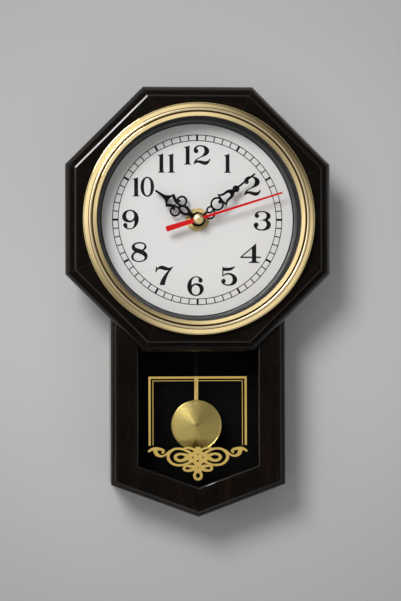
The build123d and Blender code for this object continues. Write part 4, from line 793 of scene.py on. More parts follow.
NUMERAL_GRID = 19.5
NUMERALS = {
    "1": [
        [(1.95, 19.5, 1), (0.6, 18.7), (-1.2, 18.15), (-3.6, 17.7, 1), (-3.6, 17.2, 1),
         (-2.4, 16.9), (-1.95, 16.2, 1), (-1.95, 1.7, 1), (-2.3, 1), (-3.6, 0.6, 1), (-3.6, 0, 1),
         (3.6, 0, 1), (3.6, 0.6, 1), (2.3, 1), (1.95, 1.7, 1)],
    ],
    "2": [
        [(0, 0.5, 1), (0.6, 2.6), (1.6, 4.4), (3, 5.8), (5, 7), (7, 8), (8.9, 9.4), (10.3, 11.2),
         (11, 13.4), (10.9, 15.4), (10.2, 16.9), (8.8, 17.9), (7, 18.2), (5.2, 17.9), (3.9, 17.1),
         (3.3, 16), (4.5, 15.1), (5, 13.7), (4.3, 12.1), (2.7, 11.4), (1.1, 12.2), (0.3, 14),
         (0.5, 15.8), (1.6, 17.6), (3.5, 18.9), (5.7, 19.55), (8.2, 19.6), (10.7, 19.1),
         (13, 18.1), (14.9, 16.5), (15.9, 14.2), (15.6, 12), (14.3, 10.3), (12, 8.9), (9, 7.7),
         (6.5, 6.7), (4.5, 5.5), (3.3, 4.2, 1), (5, 4.4), (7, 4.3), (9.2, 3.85), (11.5, 3.5),
         (13.5, 3.6), (14.9, 4.3), (15.6, 5.3), (16.3, 6), (17, 5.7, 1), (16.6, 4), (15.6, 2.1),
         (14.2, 0.6), (12.2, -0.2), (10, 0), (7.6, 0.9), (5.5, 1.7), (3.8, 1.9), (2.3, 1.4),
         (1.4, 0.6), (0.7, 0.1, 1)],
    ],
    "3": [
        [(-2.15, 10.2, 1), (0.25, 10.7), (2.25, 11.4), (3.65, 12.7), (4.25, 14.5), (3.95, 16.3),
         (2.85, 17.5), (1.25, 18.15), (-0.75, 18.3), (-2.75, 18), (-4.05, 17.2), (-4.45, 16.4),
         (-3.45, 15.7), (-3.05, 14.4), (-3.75, 12.9), (-5.35, 12.3), (-6.85, 13), (-7.65, 14.6),
         (-7.35, 16.2), (-6.15, 17.7), (-3.95, 18.9), (-1.25, 19.4), (1.75, 19.3), (4.75, 18.6),
         (7.05, 17.3), (8.35, 15.6), (8.45, 13.9), (7.75, 12.2), (5.45, 10.3, 1), (7.25, 9),
         (8.45, 7.1), (8.65, 5), (7.95, 2.8), (6.15, 1.1), (3.25, 0), (0.05, -0.3), (-3.25, 0),
         (-6.15, 1.2), (-8.05, 3.2), (-8.65, 5.4), (-7.95, 7.1), (-6.15, 7.9), (-4.35, 7.2),
         (-3.65, 5.6), (-4.25, 4), (-5.35, 2.9), (-4.05, 1.8), (-1.75, 1.1), (0.75, 1.3),
         (2.85, 2.5), (4.15, 4.4), (4.35, 6.4), (3.65, 8.2), (2.15, 9.4), (-0.05, 9.85),
         (-2.15, 10, 1)],
    ],
    "4": [
        [(5.75, 19.9, 1), (5.8, 6.65, 1), (10.4, 6.65, 1), (10.4, 5.15, 1), (5.8, 5.15, 1),
         (5.8, 2.6, 1), (6.6, 1.5), (9, 1, 1), (9, 0.1, 1), (-1.9, 0.1, 1), (-1.9, 1, 1),
         (0.6, 1.5), (1.4, 2.6, 1), (1.4, 5.15, 1), (-10.4, 5.15, 1), (-10.4, 6.2, 1)],
        [(1.4, 14.6, 1), (1.4, 6.65, 1), (-8, 6.65, 1)],
    ],
    "5": [
        [(-6.9, 18.9, 1), (-4.9, 18.2), (-1.9, 17.9), (1.4, 18.2), (3.9, 18.9), (5.9, 19.6, 1),
         (4.9, 17.6), (3.1, 16), (0.6, 15), (-2.4, 14.6), (-5.8, 14.7, 1), (-5.8, 10.9, 1),
         (-4.5, 11.8), (-2.6, 12.5), (-0.3, 12.7), (2.6, 12.2), (5.1, 10.9), (7.1, 8.8), (8, 6.2),
         (7.5, 3.6), (5.8, 1.5), (3.1, 0.3), (-0.1, -0.2), (-3.4, 0.1), (-6.1, 1.3), (-7.7, 3.1),
         (-7.9, 5), (-7, 6.4), (-5.5, 6.85), (-4.1, 6.1), (-3.5, 4.6), (-4, 3.2), (-4.6, 2.3),
         (-3.3, 1.45), (-1.3, 1.2), (0.9, 1.7), (2.5, 3), (3.3, 5.1), (3.2, 7.6), (2.3, 9.6),
         (0.5, 10.65), (-1.8, 10.9), (-3.9, 10.5), (-5.4, 9.7), (-6.2, 9.1), (-7, 9.2, 1)],
    ],
    "6": [
        [(0.2, 19.5), (-2.5, 18.8), (-4.8, 17.3), (-6.8, 14.9), (-8, 11.9), (-8.3, 9.1),
         (-7.9, 6.1), (-6.7, 3.4), (-4.5, 1.2), (-1.8, 0), (0.6, -0.2), (3.5, 0.4), (6, 1.9),
         (7.7, 4.2), (8.3, 6.6), (7.8, 9.2), (6.2, 11.1), (3.8, 12.2), (1.2, 12.6), (-1, 12.2),
         (-2.7, 11.4), (-3.8, 10.4, 1), (-4, 12.4), (-3.6, 14.8), (-2.6, 16.9), (-1.2, 18.1),
         (0.6, 18.5), (2.2, 18.1), (3.2, 17.3), (3, 15.4), (3.5, 13.8), (5, 13), (6.6, 13.7),
         (7.2, 15.3), (6.7, 16.8), (5.2, 18.2), (3, 19.2)],
        [(0.3, 10.6), (-2.3, 9.5), (-3.65, 7), (-3.5, 4.1), (-2.1, 1.9), (0.3, 1.1), (2.7, 1.9),
         (4, 4.2), (4.2, 6.8), (3, 9.3)],
    ],
    "7": [
        [(-8.1, 18.7, 1), (-7.35, 18.7, 1), (-7.1, 17.7), (-6.7, 17.1, 1), (-5.5, 18.2),
         (-3.8, 19.2), (-2, 19.5), (0.2, 19), (2.7, 18), (5, 17.4), (6.9, 17.7), (8.3, 18.7),
         (9, 18.8, 1), (8.7, 17.7), (7.7, 16.2), (6.4, 14.4), (4.9, 12.3), (3.5, 9.6), (2.3, 6.6),
         (1.4, 3.6), (0.8, 0, 1), (-4.6, 0, 1), (-3.8, 3.1), (-2.3, 6.2), (-0.3, 9.4), (2, 12.3),
         (4.2, 14.7, 1), (2.3, 14.65), (0.1, 15), (-2.3, 15.6), (-4.3, 16), (-5.9, 15.7),
         (-7.1, 14.6), (-7.6, 12.9, 1), (-8.9, 12.7, 1), (-8.4, 15.6)],
    ],
    "8": [
        [(0, 19.7), (-2.7, 19.4), (-5.5, 18.2), (-7.3, 16.4), (-7.8, 14.4), (-7.2, 12.4),
         (-6, 10.9), (-4.8, 10, 1), (-6.7, 8.6), (-7.9, 6.5), (-8.2, 4.7), (-7.5, 2.5),
         (-5.4, 0.8), (-2.7, -0.1), (0, -0.3), (3, 0.1), (6, 1.4), (7.7, 3.5), (8.2, 5.9),
         (7.5, 8.3), (5.8, 10.1), (4.2, 11.1, 1), (5.8, 12.2), (6.9, 13.7), (7.2, 15.4),
         (6.4, 17.3), (4.3, 18.9), (2.2, 19.6)],
        [(-0.2, 18.2), (-3, 17.7), (-4.5, 16.4), (-4.1, 14.7), (-2, 13.5), (1, 12.7), (2.9, 12.3),
         (4.3, 13.6), (5, 15.4), (4.3, 17.1), (2.5, 18)],
        [(-3, 8.8), (-5, 7.3), (-5.9, 5.1), (-5.4, 2.9), (-3.6, 1.4), (-0.2, 0.9), (3, 1.5),
         (4.8, 3), (5, 4.8), (3.5, 6.4), (0.8, 7.8), (-1.4, 8.7)],
    ],
    "0": [
        [(6.8, 9.75), (6.35, 13.6), (4.9, 16.9), (2.6, 19.1), (0, 19.8), (-2.6, 19.1),
         (-4.9, 16.9), (-6.35, 13.6), (-6.8, 9.75), (-6.35, 5.9), (-4.9, 2.6), (-2.6, 0.4),
         (0, -0.3), (2.6, 0.4), (4.9, 2.6), (6.35, 5.9)],
        [(3.35, 9.75), (3.1, 13.4), (2.3, 16.6), (1.2, 18), (0, 18.4), (-1.2, 18), (-2.3, 16.6),
         (-3.1, 13.4), (-3.35, 9.75), (-3.1, 6.1), (-2.3, 2.9), (-1.2, 1.5), (0, 1.1), (1.2, 1.5),
         (2.3, 2.9), (3.1, 6.1)],
    ],
}
NUMERALS["9"] = [[(-p[0], NUMERAL_GRID - p[1], *p[2:]) for p in loop] for loop in NUMERALS["6"]]
HOURS = {hour: [(str(hour), 0)] for hour in range(1, 10)}  # signs and how far right each is set
HOURS |= {10: [("1", 0), ("0", 11.2)], 11: [("1", 0), ("1", 10.05)], 12: [("1", 0), ("2", 5.8)]}

# One half of the flourish: strokes of points (out from the middle, down from the dial's middle,
# width) in drawing units.
FLOURISH = [
    [(49.0, 231.0, 1.9), (46.6, 229.4, 2.6), (43.1, 228.5, 3.2), (39.0, 228.7, 2.9),
     (35.5, 229.5, 2.3), (34.1, 231.1, 2.0), (35.4, 232.4, 2.1)],
    [(42.6, 229.2, 3.8), (42.2, 232.0, 4.2), (40.7, 234.3, 3.4), (38.0, 235.7, 2.4),
     (35.4, 235.8, 1.9), (32.7, 234.7, 1.8), (30.3, 232.6, 1.8), (27.7, 230.6, 1.8)],
    [(6.9, 233.3, 2.6), (9.6, 231.5, 2.5), (14.3, 229.3, 2.3), (19.0, 228.5, 2.1),
     (23.6, 229.0, 2.2), (27.3, 231.3, 2.6), (29.7, 235.0, 3.0), (29.3, 239.0, 3.0),
     (26.7, 242.4, 2.6), (23.0, 244.4, 2.3), (19.0, 245.0, 2.2), (14.9, 244.7, 2.2),
     (10.9, 243.4, 2.3), (6.9, 241.7, 2.6)],
    [(8.9, 235.9, 2.8), (12.3, 234.9, 3.2), (15.6, 233.9, 2.2), (19.0, 234.0, 2.4),
     (21.6, 235.1, 2.8), (22.6, 237.0, 3.2), (21.6, 239.0, 3.0)],
    [(21.6, 235.1, 2.8), (22.6, 237.0, 3.2), (21.6, 239.0, 3.0), (19.0, 240.3, 2.8),
     (15.6, 240.3, 2.7), (12.6, 238.9, 3.8), (9.6, 237.4, 3.4)],
    [(14.3, 228.6, 1.1), (10.9, 227.6, 1.9), (6.9, 228.3, 2.2), (3.2, 230.0, 2.4)],
    [(3.2, 246.6, 2.4), (6.2, 246.2, 3.2), (8.6, 245.9, 2.8), (11.4, 245.8, 2.0),
     (13.3, 246.7, 2.4), (13.9, 248.2, 2.8), (13.1, 249.7, 2.6)],
    [(13.3, 246.7, 2.4), (13.9, 248.2, 2.8), (13.1, 249.7, 2.6), (11.0, 250.5, 2.0),
     (8.4, 250.3, 2.8), (6.2, 249.7, 3.2), (3.2, 248.4, 2.4)],
    [(1.7, 251.9, 2.6), (3.2, 254.1, 2.7), (3.4, 256.1, 2.8), (2.3, 258.3, 2.6),
     (0.0, 259.2, 2.5)],
]
# The knot in its middle: one side's outline from the top down, and holes (out, down, radius).
KNOT = [(0.0, 226.7), (1.9, 227.0), (3.1, 228.0), (3.4, 230.8), (5.6, 232.4), (8.9, 232.4),
        (9.6, 234.3), (10.0, 236.9), (9.6, 240.3), (8.9, 241.9), (5.6, 242.4), (3.3, 244.4),
        (4.1, 246.4), (4.2, 249.6), (3.2, 252.4), (0.0, 252.9)]
KNOT_HOLES = [(0.0, 234.2, 0.75), (5.1, 237.3, 0.85), (-5.1, 237.3, 0.85), (0.0, 240.9, 1.05),
              (0.0, 247.5, 0.65)]
BORDER_TOP_THICK = 157.65
BORDER_TOP_THIN = 160.8
BORDER_FOOT = 225.2

# How far the printer set each numeral off its even place, in mm right and up.
OFF_PLACE = {1: (-1.5, 0.2), 2: (-0.8, 1.0), 3: (0.0, -0.6), 4: (-2.3, -0.8), 5: (-0.6, 0.2),
             6: (-1.5, -0.8), 7: (-0.6, 0.6), 8: (-1.2, 0.2), 9: (-1.3, 0.0), 10: (1.7, 0.2),
             11: (1.2, 0.2), 12: (0.0, -0.2)}

# The bezel's section from its outer foot inwards, as shares of its band and of its rise: a point,
# or an arc's start, middle, end and steps.
BEZEL = [
    (0, 0), (0, 0.56), ((0, 0.56), (0.02, 0.625), (0.07, 0.655), 6),
    ((0.07, 0.635), (0.22, 0.752), (0.37, 0.857), 14), (0.382, 0.82), (0.4, 0.82),
    ((0.4, 0.82), (0.51, 0.965), (0.62, 0.82), 16), (0.635, 0.71), (0.7, 0.71), (0.715, 0.96),
    ((0.715, 0.96), (0.725, 0.99), (0.745, 1), 4), ((0.745, 1), (0.86, 0.918), (0.975, 0.83), 12),
    ((0.975, 0.83), (0.993, 0.805), (1, 0.77), 4),
]
LEDGE_VIA = (0.42, 0.44)  # the ledge's curve passes here, as shares of its slope and its height
SIDE_STEPS, CORNER_STEPS = 20, 4  # points along a side of the octagon and round its corner
CAP_WALL = 0.42  # the cap's straight wall, as a share of its height
CAP_VIA = (0.72, 0.66)  # its dome passes here, as shares of its radius and its rise
STROKE_STEPS, STROKE_ENDS, NUMERAL_STEPS = 7, 6, 5  # points between those of a drawing
LEDGE_STEPS, CAP_STEPS, BEAD_STEPS = 8, 16, 8  # points on an arc of an outline
BEZEL_SIDES, LINE_SIDES, CAP_SIDES, BOB_SIDES, SCREW_SIDES, HOLE_SIDES = 360, 240, 96, 160, 40, 16
STROKE_LIFT = 0.12  # each stroke is this much thicker, so that no two meet in one plane
HOUR_LIFT, LINE_LIFT = 1.2, 1.1  # thickness of the five-minute marks and the two lines of the ring

# Screws: radius of the head, whether it is sunk, and the outline from its underside to the tip.
SCREWS = {
    "back_screws": (0.0024, 1.0, [(0.0013, 0.0011), (0.0013, 0.0138), (0.0, 0.0158)]),
    "cover_screws": (0.0017, 0.0,
                     [(0.0017, 0.001), (0.0009, 0.001), (0.0009, 0.007), (0.0, 0.007)]),
}
SCREW_TURN = 1.1  # how much farther each screw was turned than the one before

ZINC, MAGNET = (0.62, 0.62, 0.62), (0.17, 0.17, 0.18)
SIGHT_RING, RUBBER = (0.055, 0.055, 0.056), (0.012, 0.012, 0.012)
MOVEMENT_BLACK, ACETAL = (0.016, 0.016, 0.017), (0.70, 0.68, 0.60)
PLAIN_BRASS, DEEP_BRASS = (0.78, 0.60, 0.30), (0.34, 0.22, 0.08)

# Lamps: place and width; StageLook holds their power.
LAMPS = {"key": ((-0.85, -1.75, 0.95), 0.85), "rear": ((0.7, 1.5, 0.9), 1.2)}
WALL_REACH, WALL_GAP = 4.0, 0.0004
SENSOR, CLIP = 36.0, (0.05, 50.0)


def numeral_loops(hour, look):
    """Outlines of an hour's numeral, centred on its place on the dial."""
    loops = [[p + shift for p in curved(loop, True, NUMERAL_STEPS)]
             for sign, shift in HOURS[hour] for loop in NUMERALS[sign]]
    across = [p.real for loop in loops for p in loop]
    middle = complex((min(across) + max(across)) / 2, NUMERAL_GRID / 2)
    out = cmath.rect(look.radius, math.pi / 2 - math.radians(30 * hour))
    out += complex(*OFF_PLACE[hour]) / 1000
    scale = look.numeral / NUMERAL_GRID
    return [[out + (p - middle) * scale for p in loop] for loop in loops]


def ribbon(stroke):
    """Outline of a pen stroke of changing width with round ends."""
    line = curved([p[:2] for p in stroke], False, STROKE_STEPS)
    widths = [a[2] + (b[2] - a[2]) * s / STROKE_STEPS
              for a, b in zip(stroke, stroke[1:]) for s in range(STROKE_STEPS)] + [stroke[-1][2]]
    left, right = [], []
    for i, (spot, width) in enumerate(zip(line, widths)):
        way = line[min(len(line) - 1, i + 1)] - line[max(0, i - 1)]
        out = 1j * way / abs(way) * width / 2
        left.append(spot + out)
        right.append(spot - out)

    def end(hub, start):
        return [hub + (start - hub) * cmath.rect(1, -math.pi * k / STROKE_ENDS)
                for k in range(1, STROKE_ENDS)]

    return left + end(line[-1], left[-1]) + right[::-1] + end(line[0], right[0])


# Operators, one for each piece or group of like pieces

class CLOCK_OT_case(bpy.types.Operator):
    """Makes the moulded octagon and finishes the staves, the drop box and the back"""
    bl_idname = "clock.case"
    bl_label = "Case"

    def execute(self, context):
        look = context.scene.clock_case
        upright, level, front = (wood_finish("stained_wood_" + lay, lay, look)
                                 for lay in ("upright", "level", "octagon"))
        piece("octagon_moulding", self.octagon(look), "case", "case_wood", front, "octagon_front")
        smoothed("drop_front", upright)
        for node, slot in SLOT_OF.items():
            if slot == "case_wood" and node not in ("octagon_front", "drop_front"):
                lies = node in ("stave_top", "drop_foot_left", "drop_foot_right")
                dress(node, level if lies else upright)
        dress("glazing_strips", level)
        dress("back_panel", board_finish("hardboard_back", look, True))
        dress("dial_board", board_finish("hardboard_dial", look, False))
        return {"FINISHED"}

    def octagon(self, look):
        """Ledge, step and field swept round the octagon, with the dial hole in the middle."""
        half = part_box("octagon_front")[1].x
        ledge = PLATE_FACE - look.field_rise
        slope = look.ledge_round * look.ledge_lean
        via = (slope * LEDGE_VIA[0], ledge - look.ledge_round * LEDGE_VIA[1])
        section = [(0.0, PLATE_BACK), (0.0, ledge - look.ledge_round)]
        section += arc(section[-1], via, (slope, ledge), LEDGE_STEPS)
        section += [(look.ledge_width, ledge),
                    (look.ledge_width, PLATE_FACE - look.field_bevel * look.bevel_lean),
                    (look.ledge_width + look.field_bevel, PLATE_FACE)]
        rings = [(self.ring(half - inset, look.corner_round), depth) for inset, depth in section]
        hole = [p / abs(p) * look.dial_hole for p in rings[0][0]]
        rings += [(hole, PLATE_FACE), (hole, PLATE_BACK)]
        bm = skinned(rings, DIAL_Z, True)
        return with_flat_faces(mesh_of("octagon_moulding", bm, MOULDING_SMOOTH))

    def ring(self, flat, corner):
        """One ring of the octagon with its corners eased."""
        ease = corner * math.tan(EIGHTH / 2)
        points = []
        for k in range(8):
            here, then = (cmath.rect(flat / math.cos(EIGHTH / 2), EIGHTH * (k + n))
                          for n in (0.5, 1.5))
            way = (then - here) / abs(then - here)
            first, last = here + way * ease, then - way * ease
            points += [first + (last - first) * s / SIDE_STEPS for s in range(SIDE_STEPS)]
            turn = EIGHTH * (k + 1)
            hub = last - cmath.rect(corner, turn)
            points += [hub + cmath.rect(corner, turn + EIGHTH * s / CORNER_STEPS)
                       for s in range(CORNER_STEPS)]
        return points


class CLOCK_OT_bezel(bpy.types.Operator):
    """Turns the brass bezel and finishes the black sight ring"""
    bl_idname = "clock.bezel"
    bl_label = "Bezel"

    def execute(self, context):
        look = context.scene.clock_brass

        def at(across, up):
            return look.radius - across * look.band, PLATE_FACE + up * look.rise

        outline = []
        for part in BEZEL:
            outline += [at(*part)] if len(part) == 2 else arc(*(at(*p) for p in part[:3]), part[3])
        inside, seat = look.radius - look.band, look.radius - look.band + look.lens_lap
        top = PLATE_FACE + look.lens_thick
        outline += [(inside, top), (seat, top), (seat, PLATE_FACE)]
        brass = bezel_finish("turned_brass", look)
        mesh = turned("bezel_turned", outline, DIAL_Z, BEZEL_SIDES)
        piece("bezel_turned", mesh, "case", "bezel_brass", brass, "bezel")
        ring = NODES["reflector_ring"].data.vertices
        foot = min(math.hypot(v.co.x, v.co.z - DIAL_Z) for v in ring)
        smoothed("reflector_ring", ring_finish("black_sight_ring", SIGHT_RING, foot))
        return {"FINISHED"}


class CLOCK_OT_dial(bpy.types.Operator):
    """Prints the dial card: minute ring, marks and numerals"""
    bl_idname = "clock.dial"
    bl_label = "Dial"

    def execute(self, context):
        look = context.scene.clock_dial
        dress("dial_face", card_finish("dial_card", look.card))
        ink = ink_finish("dial_ink", look.ink)
        place = facing(DIAL_FRONT)
        marks = self.marks()
        meshes = []
        for count, width, height in ((60, look.minute, look.height),
                                     (12, look.hour, look.height * HOUR_LIFT)):
            mesh = marks.mesh("marks", {
                "Count": count, "Radius": (look.outer + look.inner) / 2, "Width": width,
                "Length": look.outer - look.inner, "Height": height, "Finish": ink})
            mesh.transform(place @ Matrix.Translation((0, 0, height / 2)))
            meshes.append(mesh)
        top = DIAL_FRONT + look.height * LINE_LIFT
        for radius in (look.outer, look.inner):
            low, high = radius - look.line / 2, radius + look.line / 2
            section = [(low, DIAL_FRONT), (high, DIAL_FRONT), (high, top), (low, top)]
            meshes.append(turned("ring", section, DIAL_Z, LINE_SIDES))
        meshes += [inked("hour", numeral_loops(hour, look), look.height, place) for hour in HOURS]
        piece("dial_print", joined("dial_print", meshes), "case", "dial_card", ink)
        return {"FINISHED"}

    def marks(self):
        """Bars set evenly round a circle, each along its own radius."""
        marks = Pattern("Dial marks", Count="Int", Radius="Float", Length="Float", Width="Float",
                        Height="Float", Finish="Material")
        given = marks.given
        circle_line = marks.add("GeometryNodeMeshCircle", None,
                                {"Vertices": given["Count"], "Radius": given["Radius"]})
        body = marks.vector(given["Length"], given["Width"], given["Height"])
        turn = marks.add("GeometryNodeInputIndex") * (math.tau / given["Count"])
        marks.close(circle_line, marks.add("GeometryNodeMeshCube", None, {"Size": body}),
                    marks.vector(0.0, 0.0, turn))
        return marks


class CLOCK_OT_hands(bpy.types.Operator):
    """Finishes the hands, the washer under them and the domed cap"""
    bl_idname = "clock.hands"
    bl_label = "Hands"

    def execute(self, context):
        look, brass = context.scene.clock_dial, context.scene.clock_brass
        black = lacquer_finish("hand_black", look.black, 0.14)
        dress("hour_hand", black)
        dress("minute_hand", black)
        dress("second_hand", lacquer_finish("hand_red", look.red, 0.16))
        polished = brass_finish("polished_brass", brass.bezel, brass.groove, 0.30, 0.000006)
        washer = brass_finish("washer_brass", brass.washer, brass.groove, 0.42)
        smoothed("dial_washer", washer)
        smoothed("dial_nut", washer)
        radius, (foot, top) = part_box("second_cap")[1].x, depths("second_cap")
        wall = foot + (top - foot) * CAP_WALL
        via = (radius * CAP_VIA[0], wall + (top - wall) * CAP_VIA[1])
        outline = [(0.0, foot), (radius, foot), (radius, wall)]
        outline += arc((radius, wall), via, (0.0, top), CAP_STEPS)
        mesh = turned("cap_dome", outline, DIAL_Z, CAP_SIDES, False)
        piece("cap_dome", mesh, "second", "small_brass", polished, "second_cap")
        return {"FINISHED"}


class CLOCK_OT_glass(bpy.types.Operator):
    """Clears the lens and the window, and prints the gold border and flourish on the window"""
    bl_idname = "clock.glass"
    bl_label = "Glass"

    def execute(self, context):
        look = context.scene.clock_print
        dress("lens", clear_finish("clear_lens"))
        dress("window_glass", clear_finish("window_glass"))
        place = facing(GLASS_FACE)

        def printed(loops, height):
            loops = [[p.conjugate() * look.unit for p in loop] for loop in loops]
            return inked("print", loops, height, place)

        meshes = []
        for k, stroke in enumerate(FLOURISH):
            right = ribbon(stroke)
            left = [-p.conjugate() for p in right]
            for loop, lift in ((left, k), (right, k + 0.5)):
                meshes.append(printed([loop], look.height * (1 + STROKE_LIFT * lift)))
        knot = [complex(-x, y) for x, y in KNOT] + [complex(*p) for p in KNOT[-2:0:-1]]
        holes = [circle(complex(x, y), radius, HOLE_SIDES) for x, y, radius in KNOT_HOLES]
        meshes.append(printed([knot, *holes], look.height * 2))
        foot = -BORDER_FOOT * look.unit
        for out, top, width in ((look.half, BORDER_TOP_THICK, look.thick),
                                (look.half_thin, BORDER_TOP_THIN, look.thin)):
            high, low = -top * look.unit + width / 2, -top * look.unit - width / 2
            near, far = out - width / 2, out + width / 2
            loop = [(-far, foot), (-far, high), (far, high), (far, foot), (near, foot),
                    (near, low), (-near, low), (-near, foot)]
            meshes.append(inked("border", [[complex(*p) for p in loop]], look.height, place))
        gold = gold_finish("gold_ink", look.gold)
        piece("window_print", joined("window_print", meshes), "case", "glass", gold)
        return {"FINISHED"}


class CLOCK_OT_pendulum(bpy.types.Operator):
    """Spins the brass bob and finishes the rod"""
    bl_idname = "clock.pendulum"
    bl_label = "Pendulum"

    def execute(self, context):
        look = context.scene.clock_brass
        radius, (rear, top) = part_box("pendulum_bob")[1].x, depths("pendulum_bob")
        rim, edge, ease = rear + look.bob_rim, radius - 2 * look.bob_bead, look.bob_ease
        outline = [(0.0, rear), (radius - ease, rear), (radius, rear + ease), (radius, rim)]
        crown = (radius - look.bob_bead, rim + look.bob_bead)
        outline += arc(outline[-1], crown, (edge, rim), BEAD_STEPS)
        blunt = look.spin_tip
        steps = 4 * round(edge / look.spin_pitch)
        for k in range(1, steps + 1):
            share = 1 - k / steps
            fall = (math.hypot(share, blunt) - blunt) / (math.hypot(1.0, blunt) - blunt)
            ripple = look.spin_depth * (math.sin(k * math.pi / 2) - 1) if share else 0.0
            outline.append((edge * share, top - (top - rim) * fall + ripple))
        mesh = turned("bob_spun", outline, BOB_Z, BOB_SIDES, False)
        brass = spun_finish("spun_brass", look)
        piece("bob_spun", mesh, "pendulum", "pendulum_brass", brass, "pendulum_bob")
        dress("pendulum_rod", rod_finish("rod_brass", look))
        return {"FINISHED"}


class CLOCK_OT_screws(bpy.types.Operator):
    """Cuts cross recesses into the screws of the back and of the movement's cover"""
    bl_idname = "clock.screws"
    bl_label = "Screws"

    def execute(self, context):
        steel = steel_finish("screw_zinc", ZINC, 0.26)
        screws = Pattern("Screws", Seats="Geometry", Screw="Object", Turn="Float",
                         Finish="Material")
        given = screws.given
        one = screws.add("GeometryNodeObjectInfo", None, {"Object": given["Screw"]}, "Geometry")
        turn = screws.add("GeometryNodeInputIndex") * given["Turn"]
        screws.close(given["Seats"], one, screws.vector(0.0, turn, 0.0))
        for node, shape in SCREWS.items():
            name = node + "_cut"
            screw = bpy.data.objects.new("screw", self.screw(*shape, context.scene.clock_case))
            values = {"Screw": screw, "Turn": SCREW_TURN, "Finish": steel}
            mesh = eased(screws.mesh(name, values, self.seats(node)))
            bpy.data.objects.remove(screw)
            piece(name, mesh, BODY_OF[node], SLOT_OF[node], steel, node)
        return {"FINISHED"}

    def screw(self, radius, sunk, shank, look):
        """One screw at the origin, its face to the rear: a cut head on the rest of its outline."""
        reach, half, deep = radius * look.recess_reach, radius * look.recess_half, look.recess_deep
        arm = [complex(half, half), complex(reach, half), complex(reach, -half)]
        cross = [p * (-1j)**quarter for quarter in range(4) for p in arm]
        place = Matrix(((1, 0, 0, 0), (0, 0, 1, -deep), (0, -1, 0, 0), (0, 0, 0, 1)))
        head = inked("head", [circle(0j, radius, SCREW_SIDES), cross], deep, place)
        under = 1 - sunk * deep / radius
        for v in head.vertices:
            if v.co.y < -deep / 2 and math.hypot(v.co.x, v.co.z) > (reach + radius) / 2:
                v.co.x, v.co.z = v.co.x * under, v.co.z * under
        outline = [(0.0, deep), (radius * under, deep), *shank]
        body = turned("body", outline, 0.0, SCREW_SIDES, False)
        return joined("screw", [head, body])

    def seats(self, node):
        """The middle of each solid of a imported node, at its rear face."""
        bm = bmesh_of(NODES[node].data)
        bmesh.ops.remove_doubles(bm, verts=bm.verts, dist=MERGE)
        points, found = [], set()
        for start in bm.verts:
            if start in found:
                continue
            found.add(start)
            solid = [start]
            for vert in solid:
                new = {edge.other_vert(vert) for edge in vert.link_edges} - found
                found |= new
                solid += new
            xs, ys, zs = zip(*(v.co for v in solid))
            points.append(((min(xs) + max(xs)) / 2, max(ys), (min(zs) + max(zs)) / 2))
        bm.free()
        mesh = bpy.data.meshes.new(node)
        mesh.from_pydata(points, [], [])
        return mesh


class CLOCK_OT_movement(bpy.types.Operator):
    """Finishes the battery movement: case, wheels, coils, contacts and cell"""
    bl_idname = "clock.movement"
    bl_label = "Movement"

    def execute(self, context):
        finishes = {
            "movement_black": plastic_finish("movement_black", MOVEMENT_BLACK, 0.42),
            "train_plastic": plastic_finish("train_acetal", ACETAL, 0.36, 1800),
            "steel": steel_finish("zinc_plate", ZINC, 0.24),
            "small_brass": brass_finish("plain_brass", PLAIN_BRASS, DEEP_BRASS, 0.2),
            "magnet": steel_finish("sintered_magnet", MAGNET, 0.42),
            "copper_wire": wire_finish("copper_wire"),
            "board_green": circuit_finish("coated_board"),
            "cell_jacket": jacket_finish("cell_jacket"),
            "rubber": plastic_finish("black_rubber", RUBBER, 0.66, 900),
        }
        done = {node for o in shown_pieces() for node in o.get("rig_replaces", [])}
        for node, slot in SLOT_OF.items():
            if slot in finishes and node not in done:
                smoothed(node, finishes[slot])
        return {"FINISHED"}


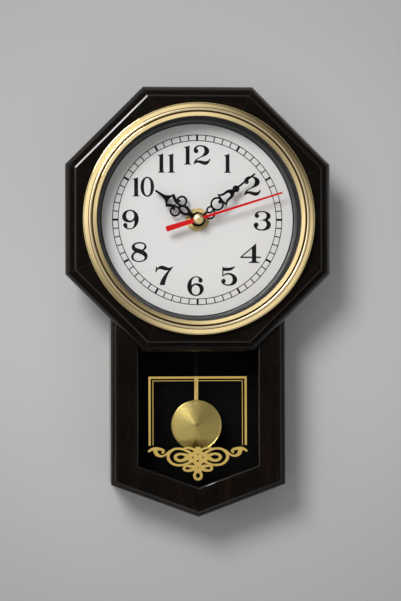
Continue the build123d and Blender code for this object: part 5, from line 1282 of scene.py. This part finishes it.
class CLOCK_OT_stage(bpy.types.Operator):
    """Hangs the wall behind the clock and sets the lamps and the camera"""
    bl_idname = "clock.stage"
    bl_label = "Stage"

    def execute(self, context):
        look = context.scene.clock_stage
        corners = [(x * WALL_REACH, WALL_GAP, z * WALL_REACH)
                   for x, z in ((-1, -1), (1, -1), (1, 1), (-1, 1))]
        mesh = bpy.data.meshes.new("wall")
        mesh.from_pydata(corners, [], [(0, 1, 2, 3)])
        mesh.materials.append(wall_finish("plain_wall", look))
        self.hung("wall", mesh)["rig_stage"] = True
        for name, (spot, across) in LAMPS.items():
            data = bpy.data.lights.new(name, "AREA")
            data.shape = "DISK"
            data.size = across
            data.energy = getattr(look, name)
            lamp = self.hung(name, data)
            lamp.location = spot
            aim = Vector((0.0, 0.0, DIAL_Z)) - Vector(spot)
            lamp.rotation_euler = aim.to_track_quat("-Z", "Y").to_euler()
        self.room(look)
        self.camera(look)
        context.scene.view_settings.view_transform = "Standard"
        return {"FINISHED"}

    def hung(self, name, data):
        made = bpy.data.objects.new(name, data)
        bpy.context.scene.collection.objects.link(made)
        return made

    def room(self, look):
        """A plain room: dim behind the camera, so that glass and lacquer stay deep, then pale."""
        world = bpy.data.worlds.new("room")
        bpy.context.scene.world = world
        world.use_nodes = True
        sky = Tree(world.node_tree)
        x, y, z = sky.parts(sky.add("ShaderNodeTexCoord", out="Generated"))

        def ahead(outer, inner):
            return (y * -1.0).between(math.cos(outer), math.cos(inner))

        side = 1 - ahead(look.pale_to, look.pale_from)
        far_share = 1 - x * look.lean
        near_share = (look.near - x * look.near_lean).larger(look.near_least)
        level = look.room + side * (look.edge - look.room)
        nearer = ahead(look.near_to, look.near_from)
        level = level * (far_share + nearer * (near_share - far_share))
        level = level * (1 - (x * z * look.cross).larger(-look.cross_least))
        level = level + ahead(look.dark_to, look.dark_from) * (look.dim - level)
        seen = sky.add("ShaderNodeLightPath", out="Is Camera Ray")
        background = world.node_tree.nodes["Background"].inputs
        sky.feed(background["Strength"], level + seen * (look.backdrop - level))
        sky.feed(background["Color"], (1.0, 1.0, 1.0))

    def camera(self, look):
        data = bpy.data.cameras.new("camera")
        data.sensor_width = SENSOR
        data.lens = look.lens
        data.clip_start, data.clip_end = CLIP
        flat = math.cos(look.lift)
        outward = Vector((math.sin(look.turn) * flat, -math.cos(look.turn) * flat,
                          math.sin(look.lift)))
        right = (-outward).cross(Vector((0, 0, 1))).normalized()
        up = right.cross(-outward)
        c, s = math.cos(look.roll), math.sin(look.roll)
        right, up = right * c + up * s, up * c - right * s
        turn = Matrix((right, up, outward)).transposed().to_4x4()
        camera = self.hung("camera", data)
        place = Vector(look.aim) + outward * look.distance
        camera.matrix_world = Matrix.Translation(place) @ turn
        bpy.context.scene.camera = camera


class CLOCK_PT_panel(bpy.types.Panel):
    """Lists the clock's pieces"""
    bl_idname = "CLOCK_PT_panel"
    bl_label = "Drop clock"
    bl_space_type = "VIEW_3D"
    bl_region_type = "UI"
    bl_category = "Clock"

    def draw(self, context):
        for step in STEPS:
            self.layout.operator(step.bl_idname)


LOOKS = {"clock_case": CaseLook, "clock_brass": BrassLook, "clock_dial": DialLook,
         "clock_print": PrintLook, "clock_stage": StageLook}
STEPS = [CLOCK_OT_case, CLOCK_OT_bezel, CLOCK_OT_dial, CLOCK_OT_hands, CLOCK_OT_glass,
         CLOCK_OT_pendulum, CLOCK_OT_screws, CLOCK_OT_movement, CLOCK_OT_stage]


def register():
    for made in (*LOOKS.values(), *STEPS, CLOCK_PT_panel):
        bpy.utils.register_class(made)
    for name, look in LOOKS.items():
        setattr(bpy.types.Scene, name, PointerProperty(type=look))


def unregister():
    for name in LOOKS:
        delattr(bpy.types.Scene, name)
    for made in reversed((*LOOKS.values(), *STEPS, CLOCK_PT_panel)):
        bpy.utils.unregister_class(made)


def main():
    register()
    for step in STEPS:
        group, name = step.bl_idname.split(".")
        getattr(getattr(bpy.ops, group), name)()


if __name__ == "__main__":
    main()
